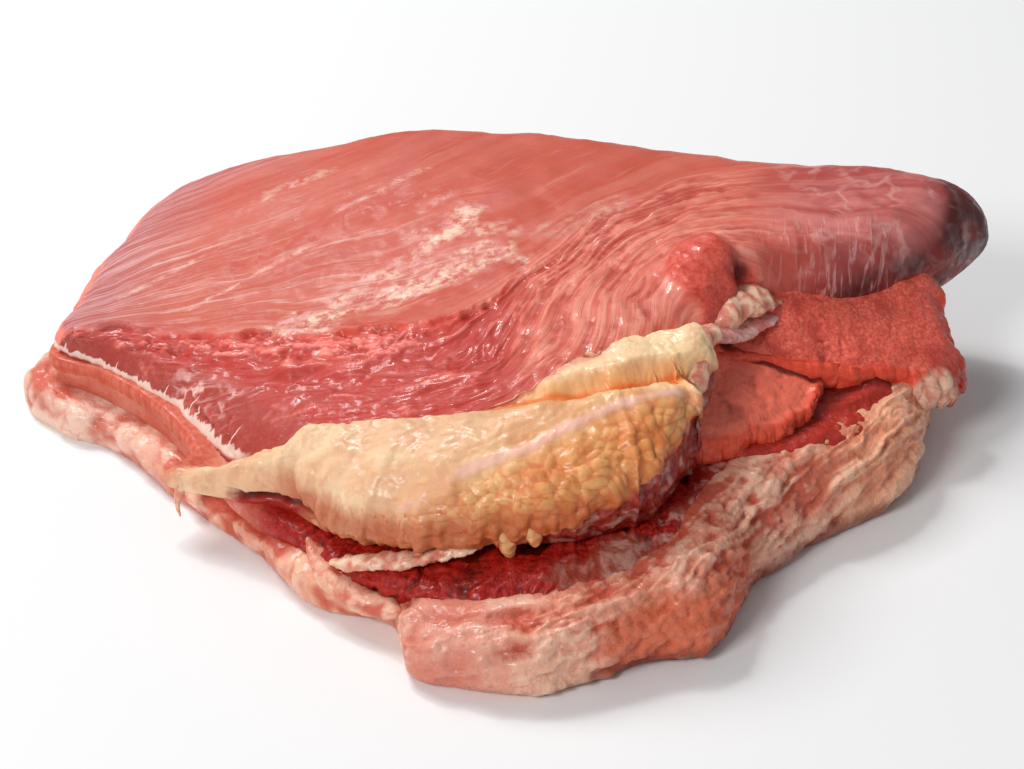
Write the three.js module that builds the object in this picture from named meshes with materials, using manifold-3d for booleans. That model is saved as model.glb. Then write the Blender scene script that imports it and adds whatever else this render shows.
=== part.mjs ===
// A whole raw beef brisket lying fat side down, as six layers that run through the meat.
// Millimetres, +Z up, with the origin under the middle of the brisket on the surface it lies on.
// +X runs along the length towards the thick rounded end, and -Y is the cut front.
import * as THREE from "three";
import { mergeVertices } from "three/addons/utils/BufferGeometryUtils.js";
import Module from "manifold-3d";

const wasm = await Module();
wasm.setup();

// Driving dimensions
const THIN_END = 43; // height of the lean top at the left corner
const THICK_END = 97; // height of the lean top at the rounded end
const BACK_CREST = 92; // height of the lean top along the middle of the back
const SEAM_GAP = 0.3; // clearance between one layer and the next
const OVERLAP = 3; // how far a lower layer reaches into the one over it before it is cut
const CAP_THIN = 15; // fat cap under the thin end
const CAP_WALL = 42; // fat cap where it climbs the front of the thick end
const LEAN_UNDER = [27, 48]; // underside of the top lean at the thin end and at the thick end

const { lerp: mix, clamp } = THREE.MathUtils;

// A smooth step from 0 at a to 1 at b, also where b is less than a
function ease(a, b, t) {
  const s = clamp((t - a) / (b - a), 0, 1);
  return s * s * (3 - 2 * s);
}

// A closed Catmull-Rom curve through rows of numbers: u runs once round from 0 to 1.
function around(rows, u) {
  const n = rows.length;
  const s = (((u % 1) + 1) % 1) * n;
  const i = Math.floor(s);
  const t = s - i;
  const [a, b, c, d] = [-1, 0, 1, 2].map((k) => rows[(i + k + n) % n]);
  return b.map((_, k) => b[k] + 0.5 * t * (c[k] - a[k]
    + t * (2 * a[k] - 5 * b[k] + 4 * c[k] - d[k] + t * (3 * (b[k] - c[k]) + d[k] - a[k]))));
}

// How far the place (x, y) is from a path of places
function distanceTo(path, x, y) {
  let least = Infinity;
  for (let i = 0; i + 1 < path.length; i++) {
    const [[ax, ay], [bx, by]] = [path[i], path[i + 1]];
    const [dx, dy] = [bx - ax, by - ay];
    const t = clamp(((x - ax) * dx + (y - ay) * dy) / (dx * dx + dy * dy), 0, 1);
    least = Math.min(least, Math.hypot(x - ax - t * dx, y - ay - t * dy));
  }
  return least;
}

// A round swelling of height 1 at a point
function swelling(p, [x, y, z], reach) {
  return Math.exp(-((p.x - x) ** 2 + (p.y - y) ** 2 + (p.z - z) ** 2) / reach ** 2);
}

// Slow lumps between -1 and 1
function lumps(p, size) {
  const [x, y, z] = [p.x / size, p.y / size, p.z / size];
  return Math.sin(x + 1.3 * Math.sin(y)) * Math.cos(y - 0.7 * z) * Math.sin(z + 0.8 * x + 1);
}

// A layer is a sphere's grid drawn over a rim. Each rim row is [x, y, height of the widest point,
// how far the top edge rolls over, how far the under edge tucks in]. From the middle of the top the
// profile runs out to the edge, rolls over to the widest point, tucks under and runs back in.
function layer(spec, grow = 0) {
  const geometry = new THREE.SphereGeometry(1, spec.around, spec.rows);
  const place = geometry.getAttribute("position");
  const uv = geometry.getAttribute("uv");
  const [topEnd, rollEnd, tuckEnd] = spec.split;
  const power = 2 / spec.square;
  for (let i = 0; i < place.count; i++) {
    const v = 1 - uv.getY(i);
    const [x, y, mid, roll, tuck] = around(spec.rim, uv.getX(i));
    const reach = Math.hypot(x - spec.centre[0], y - spec.centre[1]);
    const quarter = (from, to, even = 1) => ((v - from) / (to - from)) ** even * Math.PI / 2;
    let inward = 0;
    let share = 0;
    if (v <= topEnd) {
      inward = mix(reach, roll, (v / topEnd) ** 0.8);
      share = 1;
    } else if (v <= rollEnd) {
      inward = roll * (1 - Math.sin(quarter(topEnd, rollEnd, 1.3)) ** power);
      share = Math.max(0, Math.cos(quarter(topEnd, rollEnd, 1.3))) ** power;
    } else if (v <= tuckEnd) {
      inward = tuck * (1 - Math.max(0, Math.cos(quarter(rollEnd, tuckEnd))) ** power);
      share = -(Math.sin(quarter(rollEnd, tuckEnd)) ** power);
    } else {
      inward = mix(tuck, reach, ((v - tuckEnd) / (1 - tuckEnd)) ** 1.2);
      share = -1;
    }
    const px = mix(x, spec.centre[0], inward / reach);
    const py = mix(y, spec.centre[1], inward / reach);
    const end = share > 0 ? spec.top(px, py, Math.max(0, inward - roll), roll) : spec.low(px, py);
    place.setXYZ(i, px, py, mix(mid, end, Math.abs(share)));
  }
  geometry.deleteAttribute("uv");
  geometry.deleteAttribute("normal");
  return solid(mergeVertices(geometry, 1e-4), spec, grow);
}

// Pushes a layer's surface out by its relief and returns the solid
function solid(geometry, spec, grow) {
  geometry.computeVertexNormals();
  const point = geometry.getAttribute("position");
  const normal = geometry.getAttribute("normal");
  const p = new THREE.Vector3();
  const n = new THREE.Vector3();
  for (let i = 0; i < point.count; i++) {
    p.fromBufferAttribute(point, i);
    n.fromBufferAttribute(normal, i);
    const resting = spec.rests && p.z === 0;
    p.addScaledVector(n, spec.relief(p) + grow);
    if (spec.rests) p.z = resting ? 0 : Math.max(p.z, 0);
    point.setXYZ(i, p.x, p.y, p.z);
  }
  return new wasm.Manifold(new wasm.Mesh({
    numProp: 3,
    vertProperties: new Float32Array(point.array),
    triVerts: new Uint32Array(geometry.index.array),
  }));
}

// Heights of the lean top and of the faces between the layers
function leanTop(x, y) {
  const back = mix(36, BACK_CREST, Math.sin(clamp((x + 230) / 230, 0, 1) * Math.PI / 2));
  const front = mix(THIN_END, THICK_END, ease(-235, 120, x));
  return mix(front, back, ease(10, 140, y)) + 3 * ease(110, 190, x);
}
const leanUnder = (x) => mix(LEAN_UNDER[0], LEAN_UNDER[1], ease(-130, 60, x));
const seamUnder = (x) => leanUnder(x) - mix(3.5, 8, ease(-150, -60, x));
const pointUnder = (x) => mix(CAP_THIN - 1, CAP_THIN + 3, ease(-60, 60, x));
const capTop = (x) => mix(CAP_THIN, CAP_WALL, ease(-140, 90, x)) + 4 * ease(-190, -225, x);

// The flat: the lean slab on top, from its cut left face to the rounded thick end
const KNOB = [90, 24, 84]; // round lump of muscle beside the rounded end
const PIT = [104, 14, 74]; // dark pit between the knob and the rounded end
const TORN_EDGE = [[-211, 46], [-157, 31], [-114, 17], [-69, 1], [-30, -3], [-13, 0], [7, 34]];
const flat = {
  around: 78,
  rows: 21,
  centre: [10, 45],
  square: 2.1,
  split: [0.42, 0.66, 0.78],
  rim: [
    [-214, 40, 29, 10, 3], [-190, 27, 27, 17, 3], [-160, 0, 25, 26, 4], [-132, -42, 26, 44, 4],
    [-100, -72, 34, 42, 8], [-60, -93, 42, 36, 12], [-16, -96, 50, 34, 14], [30, -68, 60, 30, 14],
    [76, -28, 70, 24, 14], [102, 8, 72, 26, 14], [128, 24, 74, 34, 20], [156, 30, 76, 42, 24],
    [188, 46, 74, 46, 26], [210, 63, 68, 44, 28], [228.5, 96, 63, 44, 28], [203, 114, 61, 38, 26],
    [150, 126, 58, 36, 20], [70, 153, 52, 30, 16], [-20, 171, 46, 27, 14], [-110, 167, 40, 26, 12],
    [-176, 158, 32, 22, 8], [-200, 112, 29, 18, 6], [-210, 70, 29, 14, 4],
  ],
  top: (x, y) => leanTop(x, y) - 2.5 * ease(4, -6, distanceTo(TORN_EDGE, x, y)) * ease(60, 0, x),
  low: (x) => leanUnder(x),
  relief: (p) => 7 * swelling(p, KNOB, 20) - 9 * swelling(p, PIT, 10) + 1.1 * lumps(p, 26),
};

// The seam of yellow fat between the muscles. It shows as a thin line along the left cut and hangs
// out of the front as two rolls, and inside it dives under the flat.
const CREASE = [[-14, -80], [4, -79], [29, -75], [54, -70], [67, -67], [80, -65], [92, -60]];
const seamCrest = (roll) => ease(4, 14, roll);
const seam = {
  around: 68,
  rows: 21,
  centre: [20, 10],
  square: 2.3,
  split: [0.16, 0.62, 0.82],
  rim: [
    [-216, 41, 26.5, 2, 1], [-191, 26, 24.5, 2, 1], [-161, -2, 22.5, 2, 1], [-142, -37, 23, 4, 1],
    [-151, -57, 25, 6, 4], [-122, -69, 31, 9, 7], [-97, -80, 38, 14, 9], [-78, -104, 38, 36, 14],
    [-46, -124, 43, 46, 18], [-4, -131, 51, 58, 18], [36, -127, 58, 72, 18], [60, -114, 62, 66, 16],
    [74, -92, 66, 52, 14], [84, -70, 71, 35, 10], [89, -48, 73, 14, 8], [86, -16, 70, 8, 6],
    [104, 60, 48, 8, 4], [70, 130, 46, 8, 4], [-110, 140, 30, 6, 3], [-180, 130, 26, 3, 2],
    [-208, 72, 26, 2, 1],
  ],
  top: (x, y, beyond, roll) => {
    return mix(leanUnder(x) + OVERLAP, leanTop(x, y) + 2, ease(16, 0, beyond) * seamCrest(roll));
  },
  low: (x) => seamUnder(x),
  relief: (p) => {
    const fold = ease(10, 0, distanceTo(CREASE, p.x, p.y)) * ease(56, 68, p.z);
    return ease(34, 50, p.z) * (1.4 * lumps(p, 9) - mix(2, 9, ease(-10, 45, p.x)) * fold);
  },
};

// The two lean flaps under the rounded end
const FLAP_NUB = [201, 12, 28]; // knob of fat at the outer corner of the upper flap
const upperFlapTop = (x, y) => 60 - 0.28 * (x - 150) + 0.5 * (y - 10);
const lowerFlapTop = (x, y) => 60 - 0.42 * (x - 105) + 0.28 * (y + 30);
const upperFlap = {
  around: 36,
  rows: 13,
  centre: [155, 35],
  square: 2.6,
  split: [0.4, 0.6, 0.8],
  rim: [
    [92, -14, 70, 8, 5], [118, -12, 62, 8, 5], [150, -7, 52, 8, 5], [176, 1, 43, 9, 6],
    [200, 8, 26, 10, 8], [212, 16, 28, 12, 8], [206, 38, 44, 12, 8], [200, 62, 52, 10, 8],
    [180, 82, 56, 10, 8], [130, 70, 60, 10, 6], [104, 30, 68, 10, 5],
  ],
  top: upperFlapTop,
  low: (x, y) => upperFlapTop(x, y) - 15,
  relief: (p) => 5 * swelling(p, FLAP_NUB, 13) + 0.8 * lumps(p, 12),
};
const lowerFlap = {
  around: 28,
  rows: 11,
  centre: [104, -26],
  square: 2.4,
  split: [0.4, 0.6, 0.8],
  rim: [
    [74, -64, 60, 8, 6], [90, -66, 49, 8, 6], [107, -51, 45, 8, 6], [125, -40, 46, 8, 6],
    [136, -23, 49, 8, 6], [130, 4, 52, 8, 6], [95, 7, 63, 8, 6], [75, -19, 69, 8, 6],
  ],
  top: lowerFlapTop,
  low: (x, y) => lowerFlapTop(x, y) - 18,
  relief: (p) => 0.8 * lumps(p, 10),
};

// The point: the dark lean under the seam, running out to a thin band at the left cut
const SHELF = [[126, -14], [146, -10], [166, 6]]; // a raised step of it under the upper flap
const point = {
  around: 54,
  rows: 13,
  centre: [30, 0],
  square: 2.2,
  split: [0.26, 0.6, 0.8],
  rim: [
    [-213, 40, 19, 3, 2], [-188, 24, 17, 3, 2], [-158, -5, 16, 3, 2], [-136, -42, 16, 4, 3],
    [-112, -76, 18, 8, 4], [-88, -97, 20, 14, 6], [-68, -119, 22, 16, 6], [-40, -138, 25, 20, 7],
    [-4, -149, 28, 22, 7], [26, -147, 30, 22, 7], [50, -138, 32, 20, 7], [72, -116, 34, 18, 7],
    [90, -82, 35, 16, 7], [113, -62, 36, 14, 7], [149, -43, 36, 12, 7], [169, -19, 36, 12, 7],
    [180, 22, 34, 12, 7], [190, 80, 30, 12, 7], [140, 118, 28, 12, 7], [20, 130, 26, 10, 6],
    [-110, 134, 21, 5, 3], [-184, 126, 19, 4, 2], [-206, 72, 19, 3, 2],
  ],
  top: (x, y, beyond) => {
    const shelf = 3 * ease(18, 13, distanceTo(SHELF, x, y));
    const height = Math.max(seamUnder(x) + OVERLAP, mix(23, 42, ease(-120, 60, x)));
    return height + shelf - 2 * ease(0, 60, beyond) * ease(-60, 60, x);
  },
  low: (x) => pointUnder(x),
  relief: (p) => ease(-120, -60, p.x) * 1.4 * lumps(p, 11),
};

// The fat cap: the sheet the brisket lies on, turned up round the front as a thick fold
const cap = {
  around: 74,
  rows: 13,
  centre: [0, 10],
  square: 2.3,
  split: [0.3, 0.64, 0.8],
  rests: true,
  rim: [
    [-229, 52, 8, 14, 4], [-213, 19, 7, 16, 4], [-186, 3, 7, 15, 4], [-148, -39, 7, 18, 4],
    [-112, -78, 8, 20, 5], [-86, -114, 9, 18, 5], [-50, -128, 10, 18, 5], [-43, -160, 10, 20, 5],
    [-19, -170, 11, 22, 5], [16, -171, 11, 24, 5], [54, -155, 12, 26, 5], [85, -145, 12, 28, 5],
    [105, -101, 12, 30, 5], [138, -68, 13, 28, 5], [173, -43, 15, 26, 5], [187, -14, 20, 24, 7],
    [197, 30, 17, 20, 6], [198, 80, 14, 16, 6], [150, 122, 11, 14, 5], [20, 136, 9, 12, 5],
    [-110, 142, 8, 10, 4], [-188, 132, 8, 10, 4],
  ],
  top: (x, y, beyond) => mix(capTop(x), pointUnder(x) + OVERLAP, ease(0, 40, beyond)),
  low: () => 0,
  relief: (p) => 1.6 * lumps(p, 15),
};

// Each layer is cut by the layers over it, so they lie against each other with a small gap.
const stack = [
  ["flat_lean", flat, 0xc8695a], ["seam_fat", seam, 0xecbc8a], ["upper_flap_lean", upperFlap, 0xbf4a3c],
  ["lower_flap_lean", lowerFlap, 0xc4503e], ["point_lean", point, 0x8f2a22], ["fat_cap", cap, 0xdb9a80],
];
const brisket = new THREE.Group();
const cutters = [];
for (const [name, spec, color] of stack) {
  const whole = layer(spec);
  const parts = cutters.reduce((left, cutter) => left.subtract(cutter), whole).decompose();
  const mesh = parts.sort((a, b) => b.volume() - a.volume())[0].getMesh();
  cutters.push(layer(spec, SEAM_GAP + 0.1).add(whole));
  const geometry = new THREE.BufferGeometry();
  geometry.setAttribute("position", new THREE.BufferAttribute(new Float32Array(mesh.vertProperties), 3));
  geometry.setIndex(new THREE.BufferAttribute(new Uint32Array(mesh.triVerts), 1));
  geometry.computeVertexNormals();
  const material = new THREE.MeshStandardMaterial({ color, roughness: 0.45, metalness: 0 });
  const piece = new THREE.Mesh(geometry, material);
  piece.name = name;
  brisket.add(piece);
}

// The middle of the brisket comes to the origin.
const box = new THREE.Box3().setFromObject(brisket);
const middle = box.getCenter(new THREE.Vector3());
for (const piece of brisket.children) piece.geometry.translate(-middle.x, -middle.y, -box.min.z);

export default brisket;
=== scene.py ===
# %% [markdown]
# A whole raw beef brisket lies fat side down. The frame already holds its six layers as plain
# solids in their true places: the flat (the lean slab on top), the seam of yellow fat between the
# two muscles, two loose flaps of lean, the dark point and the fat cap underneath. This notebook
# dresses them. Each layer gets a finely modelled surface over the same outline, and a moist
# material made of nodes.

import math

import bpy
import numpy as np
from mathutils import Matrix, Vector


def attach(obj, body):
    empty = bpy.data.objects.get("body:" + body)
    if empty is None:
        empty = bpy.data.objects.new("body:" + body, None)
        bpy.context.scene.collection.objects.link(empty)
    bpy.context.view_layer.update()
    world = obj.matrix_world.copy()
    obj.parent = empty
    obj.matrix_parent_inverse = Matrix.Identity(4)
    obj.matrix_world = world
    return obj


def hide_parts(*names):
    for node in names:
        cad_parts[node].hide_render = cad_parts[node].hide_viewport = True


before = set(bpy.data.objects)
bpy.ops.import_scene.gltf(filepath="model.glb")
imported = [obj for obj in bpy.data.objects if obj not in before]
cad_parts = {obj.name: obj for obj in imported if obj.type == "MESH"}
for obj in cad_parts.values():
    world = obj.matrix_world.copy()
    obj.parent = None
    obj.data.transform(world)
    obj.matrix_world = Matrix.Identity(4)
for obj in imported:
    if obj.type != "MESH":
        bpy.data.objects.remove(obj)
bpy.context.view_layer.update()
print("layers:", sorted(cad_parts))

# %% [markdown]
# The camera stands in front of the cut side and looks down at 34 degrees through a long lens, so
# the far edge isn't much smaller than the near one. It comes first because it decides which
# details will be seen. A small shift sets the brisket in the frame without tilting the view.

# %% Camera
LENS = 90.0
ELEVATION = math.radians(34)
DISTANCE = 1.15
AIM = Vector((-0.002, -0.0175, 0.035))
FRAME_WIDTH, SHIFT_RIGHT, SHIFT_UP = 1024, 6, 30.5

camera = bpy.data.objects.new("camera", bpy.data.cameras.new("camera"))
camera.data.lens = LENS
camera.data.clip_start = 0.05
camera.data.clip_end = 30.0
camera.data.shift_x = SHIFT_RIGHT / FRAME_WIDTH
camera.data.shift_y = SHIFT_UP / FRAME_WIDTH
away = Vector((0, -math.cos(ELEVATION), math.sin(ELEVATION)))
camera.location = AIM + away * DISTANCE
camera.rotation_euler = (-away).to_track_quat("-Z", "Y").to_euler()
bpy.context.scene.collection.objects.link(camera)
bpy.context.scene.camera = camera
print("camera at", tuple(round(c, 3) for c in camera.location))

# %% [markdown]
# Wet meat shows its shape by highlights. A wide panel behind and to the left gives the lean top
# its broad pale sheen, a wide panel in front fills the cut side, and one small bright panel puts
# crisp glints on the wet ridges. The floor and the surroundings are plain and pale.

# %% Light
def panel(name, place, size, power):
    """Adds a square area light at a place in metres, turned towards the middle of the meat."""
    data = bpy.data.lights.new(name, "AREA")
    data.energy = power
    data.size = size
    light = bpy.data.objects.new(name, data)
    light.location = place
    light.rotation_euler = (AIM - light.location).to_track_quat("-Z", "Y").to_euler()
    bpy.context.scene.collection.objects.link(light)


panel("back_left_panel", (-1.2, 1.3, 2.2), 1.1, 40)
panel("front_panel", (-1.5, -1.9, 1.9), 0.9, 44)
panel("glint_panel", (-0.5, 1.0, 1.9), 0.22, 7)
print("lights:", [light.name for light in bpy.data.lights])

world = bpy.data.worlds.new("pale_room")
world.use_nodes = True
background = world.node_tree.nodes["Background"]
background.inputs["Color"].default_value = (0.95, 0.97, 1.0, 1)
background.inputs["Strength"].default_value = 0.27
bpy.context.scene.world = world
bpy.context.scene.view_settings.view_transform = "Standard"
bpy.context.scene.view_settings.look = "None"

# %% Floor
FLOOR_REACH = 6.0
floor_mesh = bpy.data.meshes.new("floor")
corners = [(-1, -1), (1, -1), (1, 1), (-1, 1)]
floor_mesh.from_pydata([(a * FLOOR_REACH, b * FLOOR_REACH, 0) for a, b in corners], [], [(0, 1, 2, 3)])
floor = bpy.data.objects.new("floor", floor_mesh)
bpy.context.scene.collection.objects.link(floor)
floor_material = bpy.data.materials.new("pale_floor")
floor_material.use_nodes = True
floor_shader = floor_material.node_tree.nodes["Principled BSDF"]
floor_shader.inputs["Base Color"].default_value = (0.9, 0.9, 0.9, 1)
floor_shader.inputs["Roughness"].default_value = 0.8
floor_mesh.materials.append(floor_material)
print("floor:", 2 * FLOOR_REACH, "m square")

# %% [markdown]
# Every layer is a closed pillow drawn over an outline. The outline is a smooth closed curve
# through a few rows of numbers, and each row also says how high the widest point is, how far the
# top rolls over there and how far the underside tucks in. Two numbers cover the whole surface:
# once round the outline, and from the middle of the top to the middle of the underside.

# %% Curves and steps
MM = 0.001


def mix(a, b, t):
    """a where t is 0, b where t is 1, and evenly between."""
    return a + (b - a) * t


def ease(a, b, t):
    """A smooth step from 0 at a to 1 at b, also where b is less than a."""
    s = np.clip((t - a) / (b - a), 0, 1)
    return s * s * (3 - 2 * s)


def around(rows, u):
    """A closed Catmull-Rom curve through rows of numbers; u runs once round from 0 to 1."""
    rows = np.asarray(rows, float)
    s = (u % 1.0) * len(rows)
    i = np.floor(s).astype(int)
    t = (s - i)[:, None]
    a, b, c, d = (rows[(i + k) % len(rows)] for k in (-1, 0, 1, 2))
    return b + 0.5 * t * (c - a + t * (2 * a - 5 * b + 4 * c - d + t * (3 * (b - c) + d - a)))


def distance_to(path, *place):
    """The least distance from each place to a path: in plan for x and y, in space with z too."""
    least = 1e9
    for start, end in zip(path[:-1], path[1:]):
        step = np.subtract(end, start)
        gaps = [p - s for p, s in zip(place, start)]
        t = np.clip(sum(g * d for g, d in zip(gaps, step)) / (step @ step), 0, 1)
        least = np.minimum(least, np.sqrt(sum((g - t * d) ** 2 for g, d in zip(gaps, step))))
    return least


def swelling(x, y, z, centre, reach):
    """A round swelling of height 1 at a point, e to the minus square of distance over reach."""
    cx, cy, cz = centre
    return np.exp(-((x - cx) ** 2 + (y - cy) ** 2 + (z - cz) ** 2) / reach ** 2)


def lumps(x, y, z, size):
    """Slow lumps between -1 and 1: a product of three sines that lean on each other."""
    x, y, z = x / size, y / size, z / size
    return np.sin(x + 1.3 * np.sin(y)) * np.cos(y - 0.7 * z) * np.sin(z + 0.8 * x + 1)


def ring(count, start, end, share):
    """Places round the outline, with this share of them between start and end."""
    places = np.interp(np.arange(count) / count, [0, share, 1], [start, end, start + 1])
    return places % 1.0


print("a smooth step at a quarter of its way:", float(ease(0, 4, 1)))

# %% [markdown]
# Nature is uneven, so the surfaces need noise. Numbers hashed from whole-number corners and
# blended between them give soft lumps, the same noise folded at its middle gives ridges like
# muscle strands, and the distance to the nearest of a set of scattered points gives packed
# rounded lobules, which is how hard fat grows.

# %% Noise
def hashed(i, j, k, seed):
    """A fixed pseudo-random number from 0 to 1 for each whole-number corner."""
    h = (i * 374761393 + j * 668265263 + k * 1440662683 + seed * 974634777) & 0xFFFFFFFF
    h = ((h ^ (h >> 13)) * 1274126177) & 0xFFFFFFFF
    h = ((h ^ (h >> 15)) * 2246822519) & 0xFFFFFFFF
    return ((h ^ (h >> 16)) & 0xFFFFFF) / float(0xFFFFFF)


def soft(x, y, z, seed=0):
    """Values from -1 to 1 at whole-number corners, blended smoothly between them."""
    x, y, z = np.broadcast_arrays(x, y, z)
    i, j, k = (np.floor(v).astype(np.int64) for v in (x, y, z))
    fx, fy, fz = x - i, y - j, z - k
    wx, wy, wz = (f * f * f * (f * (f * 6 - 15) + 10) for f in (fx, fy, fz))
    total = 0.0
    for a in (0, 1):
        for b in (0, 1):
            for c in (0, 1):
                weight = (wx if a else 1 - wx) * (wy if b else 1 - wy) * (wz if c else 1 - wz)
                total = total + weight * hashed(i + a, j + b, k + c, seed)
    return 2 * total - 1


def rough(x, y, z, octaves=3, seed=0):
    """Layers of soft noise, each twice as fine and half as strong, from about -1 to 1."""
    total, weight = 0.0, 0.0
    for n in range(octaves):
        fine, size = 2.03 ** n, 0.5 ** n
        total = total + size * soft(x * fine + 17.3 * n, y * fine, z * fine - 9.1 * n, seed + n)
        weight += size
    return total / weight * 1.5


def ridges(x, y, z, octaves=3, seed=0):
    """Sharp-topped ridges from 0 in the hollows to 1 on the crests: noise folded at 0."""
    total, weight = 0.0, 0.0
    for n in range(octaves):
        fine, size = 1.9 ** n, 0.5 ** n
        folded = 1 - 1.6 * np.abs(soft(x * fine + 5.7 * n, y * fine, z * fine, seed + n))
        total = total + size * folded
        weight += size
    return np.clip(total / weight, 0, 1)


def domes(x, y, z, seed=0):
    """Packed lobules: rounded caps round scattered middles, and a gap that is 0 in the clefts."""
    i, j, k = (np.floor(v).astype(np.int64) for v in (x, y, z))
    first, second = np.full(x.shape, 9.0), np.full(x.shape, 9.0)
    for a in (-1, 0, 1):
        for b in (-1, 0, 1):
            for c in (-1, 0, 1):
                ci, cj, ck = i + a, j + b, k + c
                dx = ci + hashed(ci, cj, ck, seed) - x
                dy = cj + hashed(ci, cj, ck, seed + 1) - y
                dz = ck + hashed(ci, cj, ck, seed + 2) - z
                d = np.sqrt(dx * dx + dy * dy + dz * dz)
                second = np.minimum(second, np.maximum(first, d))
                first = np.minimum(first, d)
    return np.clip(1 - 1.4 * first ** 2, 0, 1), second - first


print("soft noise between corners:", round(float(soft(0.5, 0.5, 0.5)), 3))

# %% [markdown]
# The grid of a pillow is computed as whole arrays. The profile's quarter circles are made squarer
# with a power, as the plain solids' are, so that the fine surface lies on its solid. The grid can
# then push itself out along its own normals, and finally become a mesh with closed poles, whose
# points also carry numbers for the materials to read.

# %% The pillow
def edge_steps(count, sharpen=1.0):
    """Angles of a quarter turn, from 0 up to but not including a right angle."""
    return (np.linspace(0, 1, count, endpoint=False)[:, None] ** sharpen) * np.pi / 2


class Pillow:
    """A closed surface over an outline, as rows and columns of points in millimetres.

    Rows run from the middle of the top out to the rolled edge, round the widest point, under
    the tucked edge and back to the middle below. Columns run once round the outline. At each
    point, level falls from 1 on top through 0 at the widest to -1 below, inward is the distance
    in from the outline and beyond is what is left of it past the roll, wide is the run round
    the outline, and deep is the run down the surface from the widest point.
    """

    def __init__(self, rim, centre, square, top, low, u, counts, ragged=None, gather=1.0):
        x, y, mid, roll, tuck = around(rim, u).T
        cx, cy = centre
        if ragged is not None:
            out = np.hypot(x - cx, y - cy)
            push = ragged(u, x, y) / out
            x, y = x + (x - cx) * push, y + (y - cy) * push
        reach = np.hypot(x - cx, y - cy)
        power = 2 / square
        flat_rows, roll_rows, tuck_rows, low_rows = counts
        over, under = edge_steps(roll_rows, 1.3), edge_steps(tuck_rows)
        outward = 1 - (1 - np.linspace(0, 1, flat_rows, endpoint=False)[:, None]) ** gather
        back = np.linspace(0, 1, low_rows)[:, None]
        self.inward = np.concatenate([
            mix(reach, roll, outward),
            roll * (1 - np.sin(over) ** power),
            tuck * (1 - np.cos(under) ** power),
            mix(tuck, reach, back),
        ])
        level = np.concatenate([
            np.ones_like(outward), np.cos(over) ** power, -(np.sin(under) ** power), -np.ones_like(back),
        ])
        self.level = level * np.ones_like(reach)
        px = x + (cx - x) * self.inward / reach
        py = y + (cy - y) * self.inward / reach
        self.beyond = np.maximum(0, self.inward - roll)
        ends = np.where(self.level >= 0, top(px, py, self.beyond, roll), low(px, py))
        self.points = np.stack([px, py, mix(mid, ends, np.abs(self.level))], -1)
        step = np.hypot(np.diff(x, append=x[:1]), np.diff(y, append=y[:1]))
        self.wide = np.broadcast_to(np.cumsum(step) - step[0], px.shape)
        drop = np.linalg.norm(np.diff(self.points, axis=0, prepend=self.points[:1]), axis=-1)
        self.deep = np.cumsum(drop, axis=0)
        self.deep = self.deep - self.deep[flat_rows + roll_rows]

    def xyz(self):
        """The three coordinates as separate arrays."""
        return self.points[..., 0], self.points[..., 1], self.points[..., 2]

    def normals(self):
        """Outward normals: the step down a column crossed with the step along a row."""
        p = self.points
        across = np.roll(p, -1, 1) - np.roll(p, 1, 1)
        down = np.gradient(p, axis=0)
        n = np.cross(down, across)
        n = n / np.maximum(np.linalg.norm(n, axis=-1, keepdims=True), 1e-9)
        n[0], n[-1] = (0, 0, 1), (0, 0, -1)
        return n

    def push(self, height):
        """Moves the surface out along its normals by a height in millimetres."""
        height = np.array(np.broadcast_to(height, self.level.shape))
        height[0], height[-1] = height[0].mean(), height[-1].mean()
        self.points = self.points + self.normals() * height[..., None]

    def mesh(self, name, **marks):
        """The closed surface as an object with its marks."""
        return closed(name, self.points, **marks)


def closed(name, grid, **marks):
    """An object from a grid in millimetres: fans at the two poles, quads between, and marks."""
    rows, columns = grid.shape[:2]
    points = poles_and_rows(grid) * MM
    j = np.arange(columns)
    k = (j + 1) % columns
    first, last = 1, 1 + (rows - 3) * columns
    top = np.stack([0 * j, first + j, first + k], 1)
    start = first + np.arange(rows - 3)[:, None] * columns
    quads = np.stack([start + j, start + j + columns, start + k + columns, start + k], -1).reshape(-1, 4)
    low = np.stack([last + j, 0 * j + len(points) - 1, last + k], 1)
    piece = surface(name, points, [top, quads, low])
    for key, value in marks.items():
        value = np.asarray(value, float) * np.ones((rows, columns) + np.shape(value)[2:])
        mark(piece, key, poles_and_rows(value.reshape(rows, columns, -1)))
    return piece


def poles_and_rows(grid):
    """A grid's values in mesh order: one for the upper pole, the rows between, one for the lower."""
    return np.concatenate([grid[:1, 0], grid[1:-1].reshape(-1, grid.shape[-1]), grid[-1:, 0]])


def surface(name, points, faces):
    """Links a smooth mesh object made of points in metres and arrays of faces of equal size."""
    corners = np.concatenate([f.ravel() for f in faces]).astype(np.int32)
    sizes = np.concatenate([np.full(len(f), f.shape[1]) for f in faces]).astype(np.int32)
    mesh = bpy.data.meshes.new(name)
    mesh.vertices.add(len(points))
    mesh.vertices.foreach_set("co", points.astype(np.float32).ravel())
    mesh.loops.add(len(corners))
    mesh.loops.foreach_set("vertex_index", corners)
    mesh.polygons.add(len(sizes))
    mesh.polygons.foreach_set("loop_start", np.cumsum(sizes, dtype=np.int32) - sizes)
    mesh.polygons.foreach_set("loop_total", sizes)
    mesh.update(calc_edges=True)
    mesh.shade_smooth()
    piece = bpy.data.objects.new(name, mesh)
    bpy.context.scene.collection.objects.link(piece)
    print(name, "triangles:", int((sizes - 2).sum()))
    return piece


def mark(piece, key, values):
    """Stores one number, or one vector, at each point for the materials to read."""
    kind, field = ("FLOAT", "value") if values.shape[-1] == 1 else ("FLOAT_VECTOR", "vector")
    layer = piece.data.attributes.new(key, kind, "POINT")
    layer.data.foreach_set(field, values.astype(np.float32).ravel())


# %% [markdown]
# The heights below are the plain solids' own. Each layer dives a little way into the one above,
# so no light shows between them, and only the parts that come out are seen.

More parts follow.
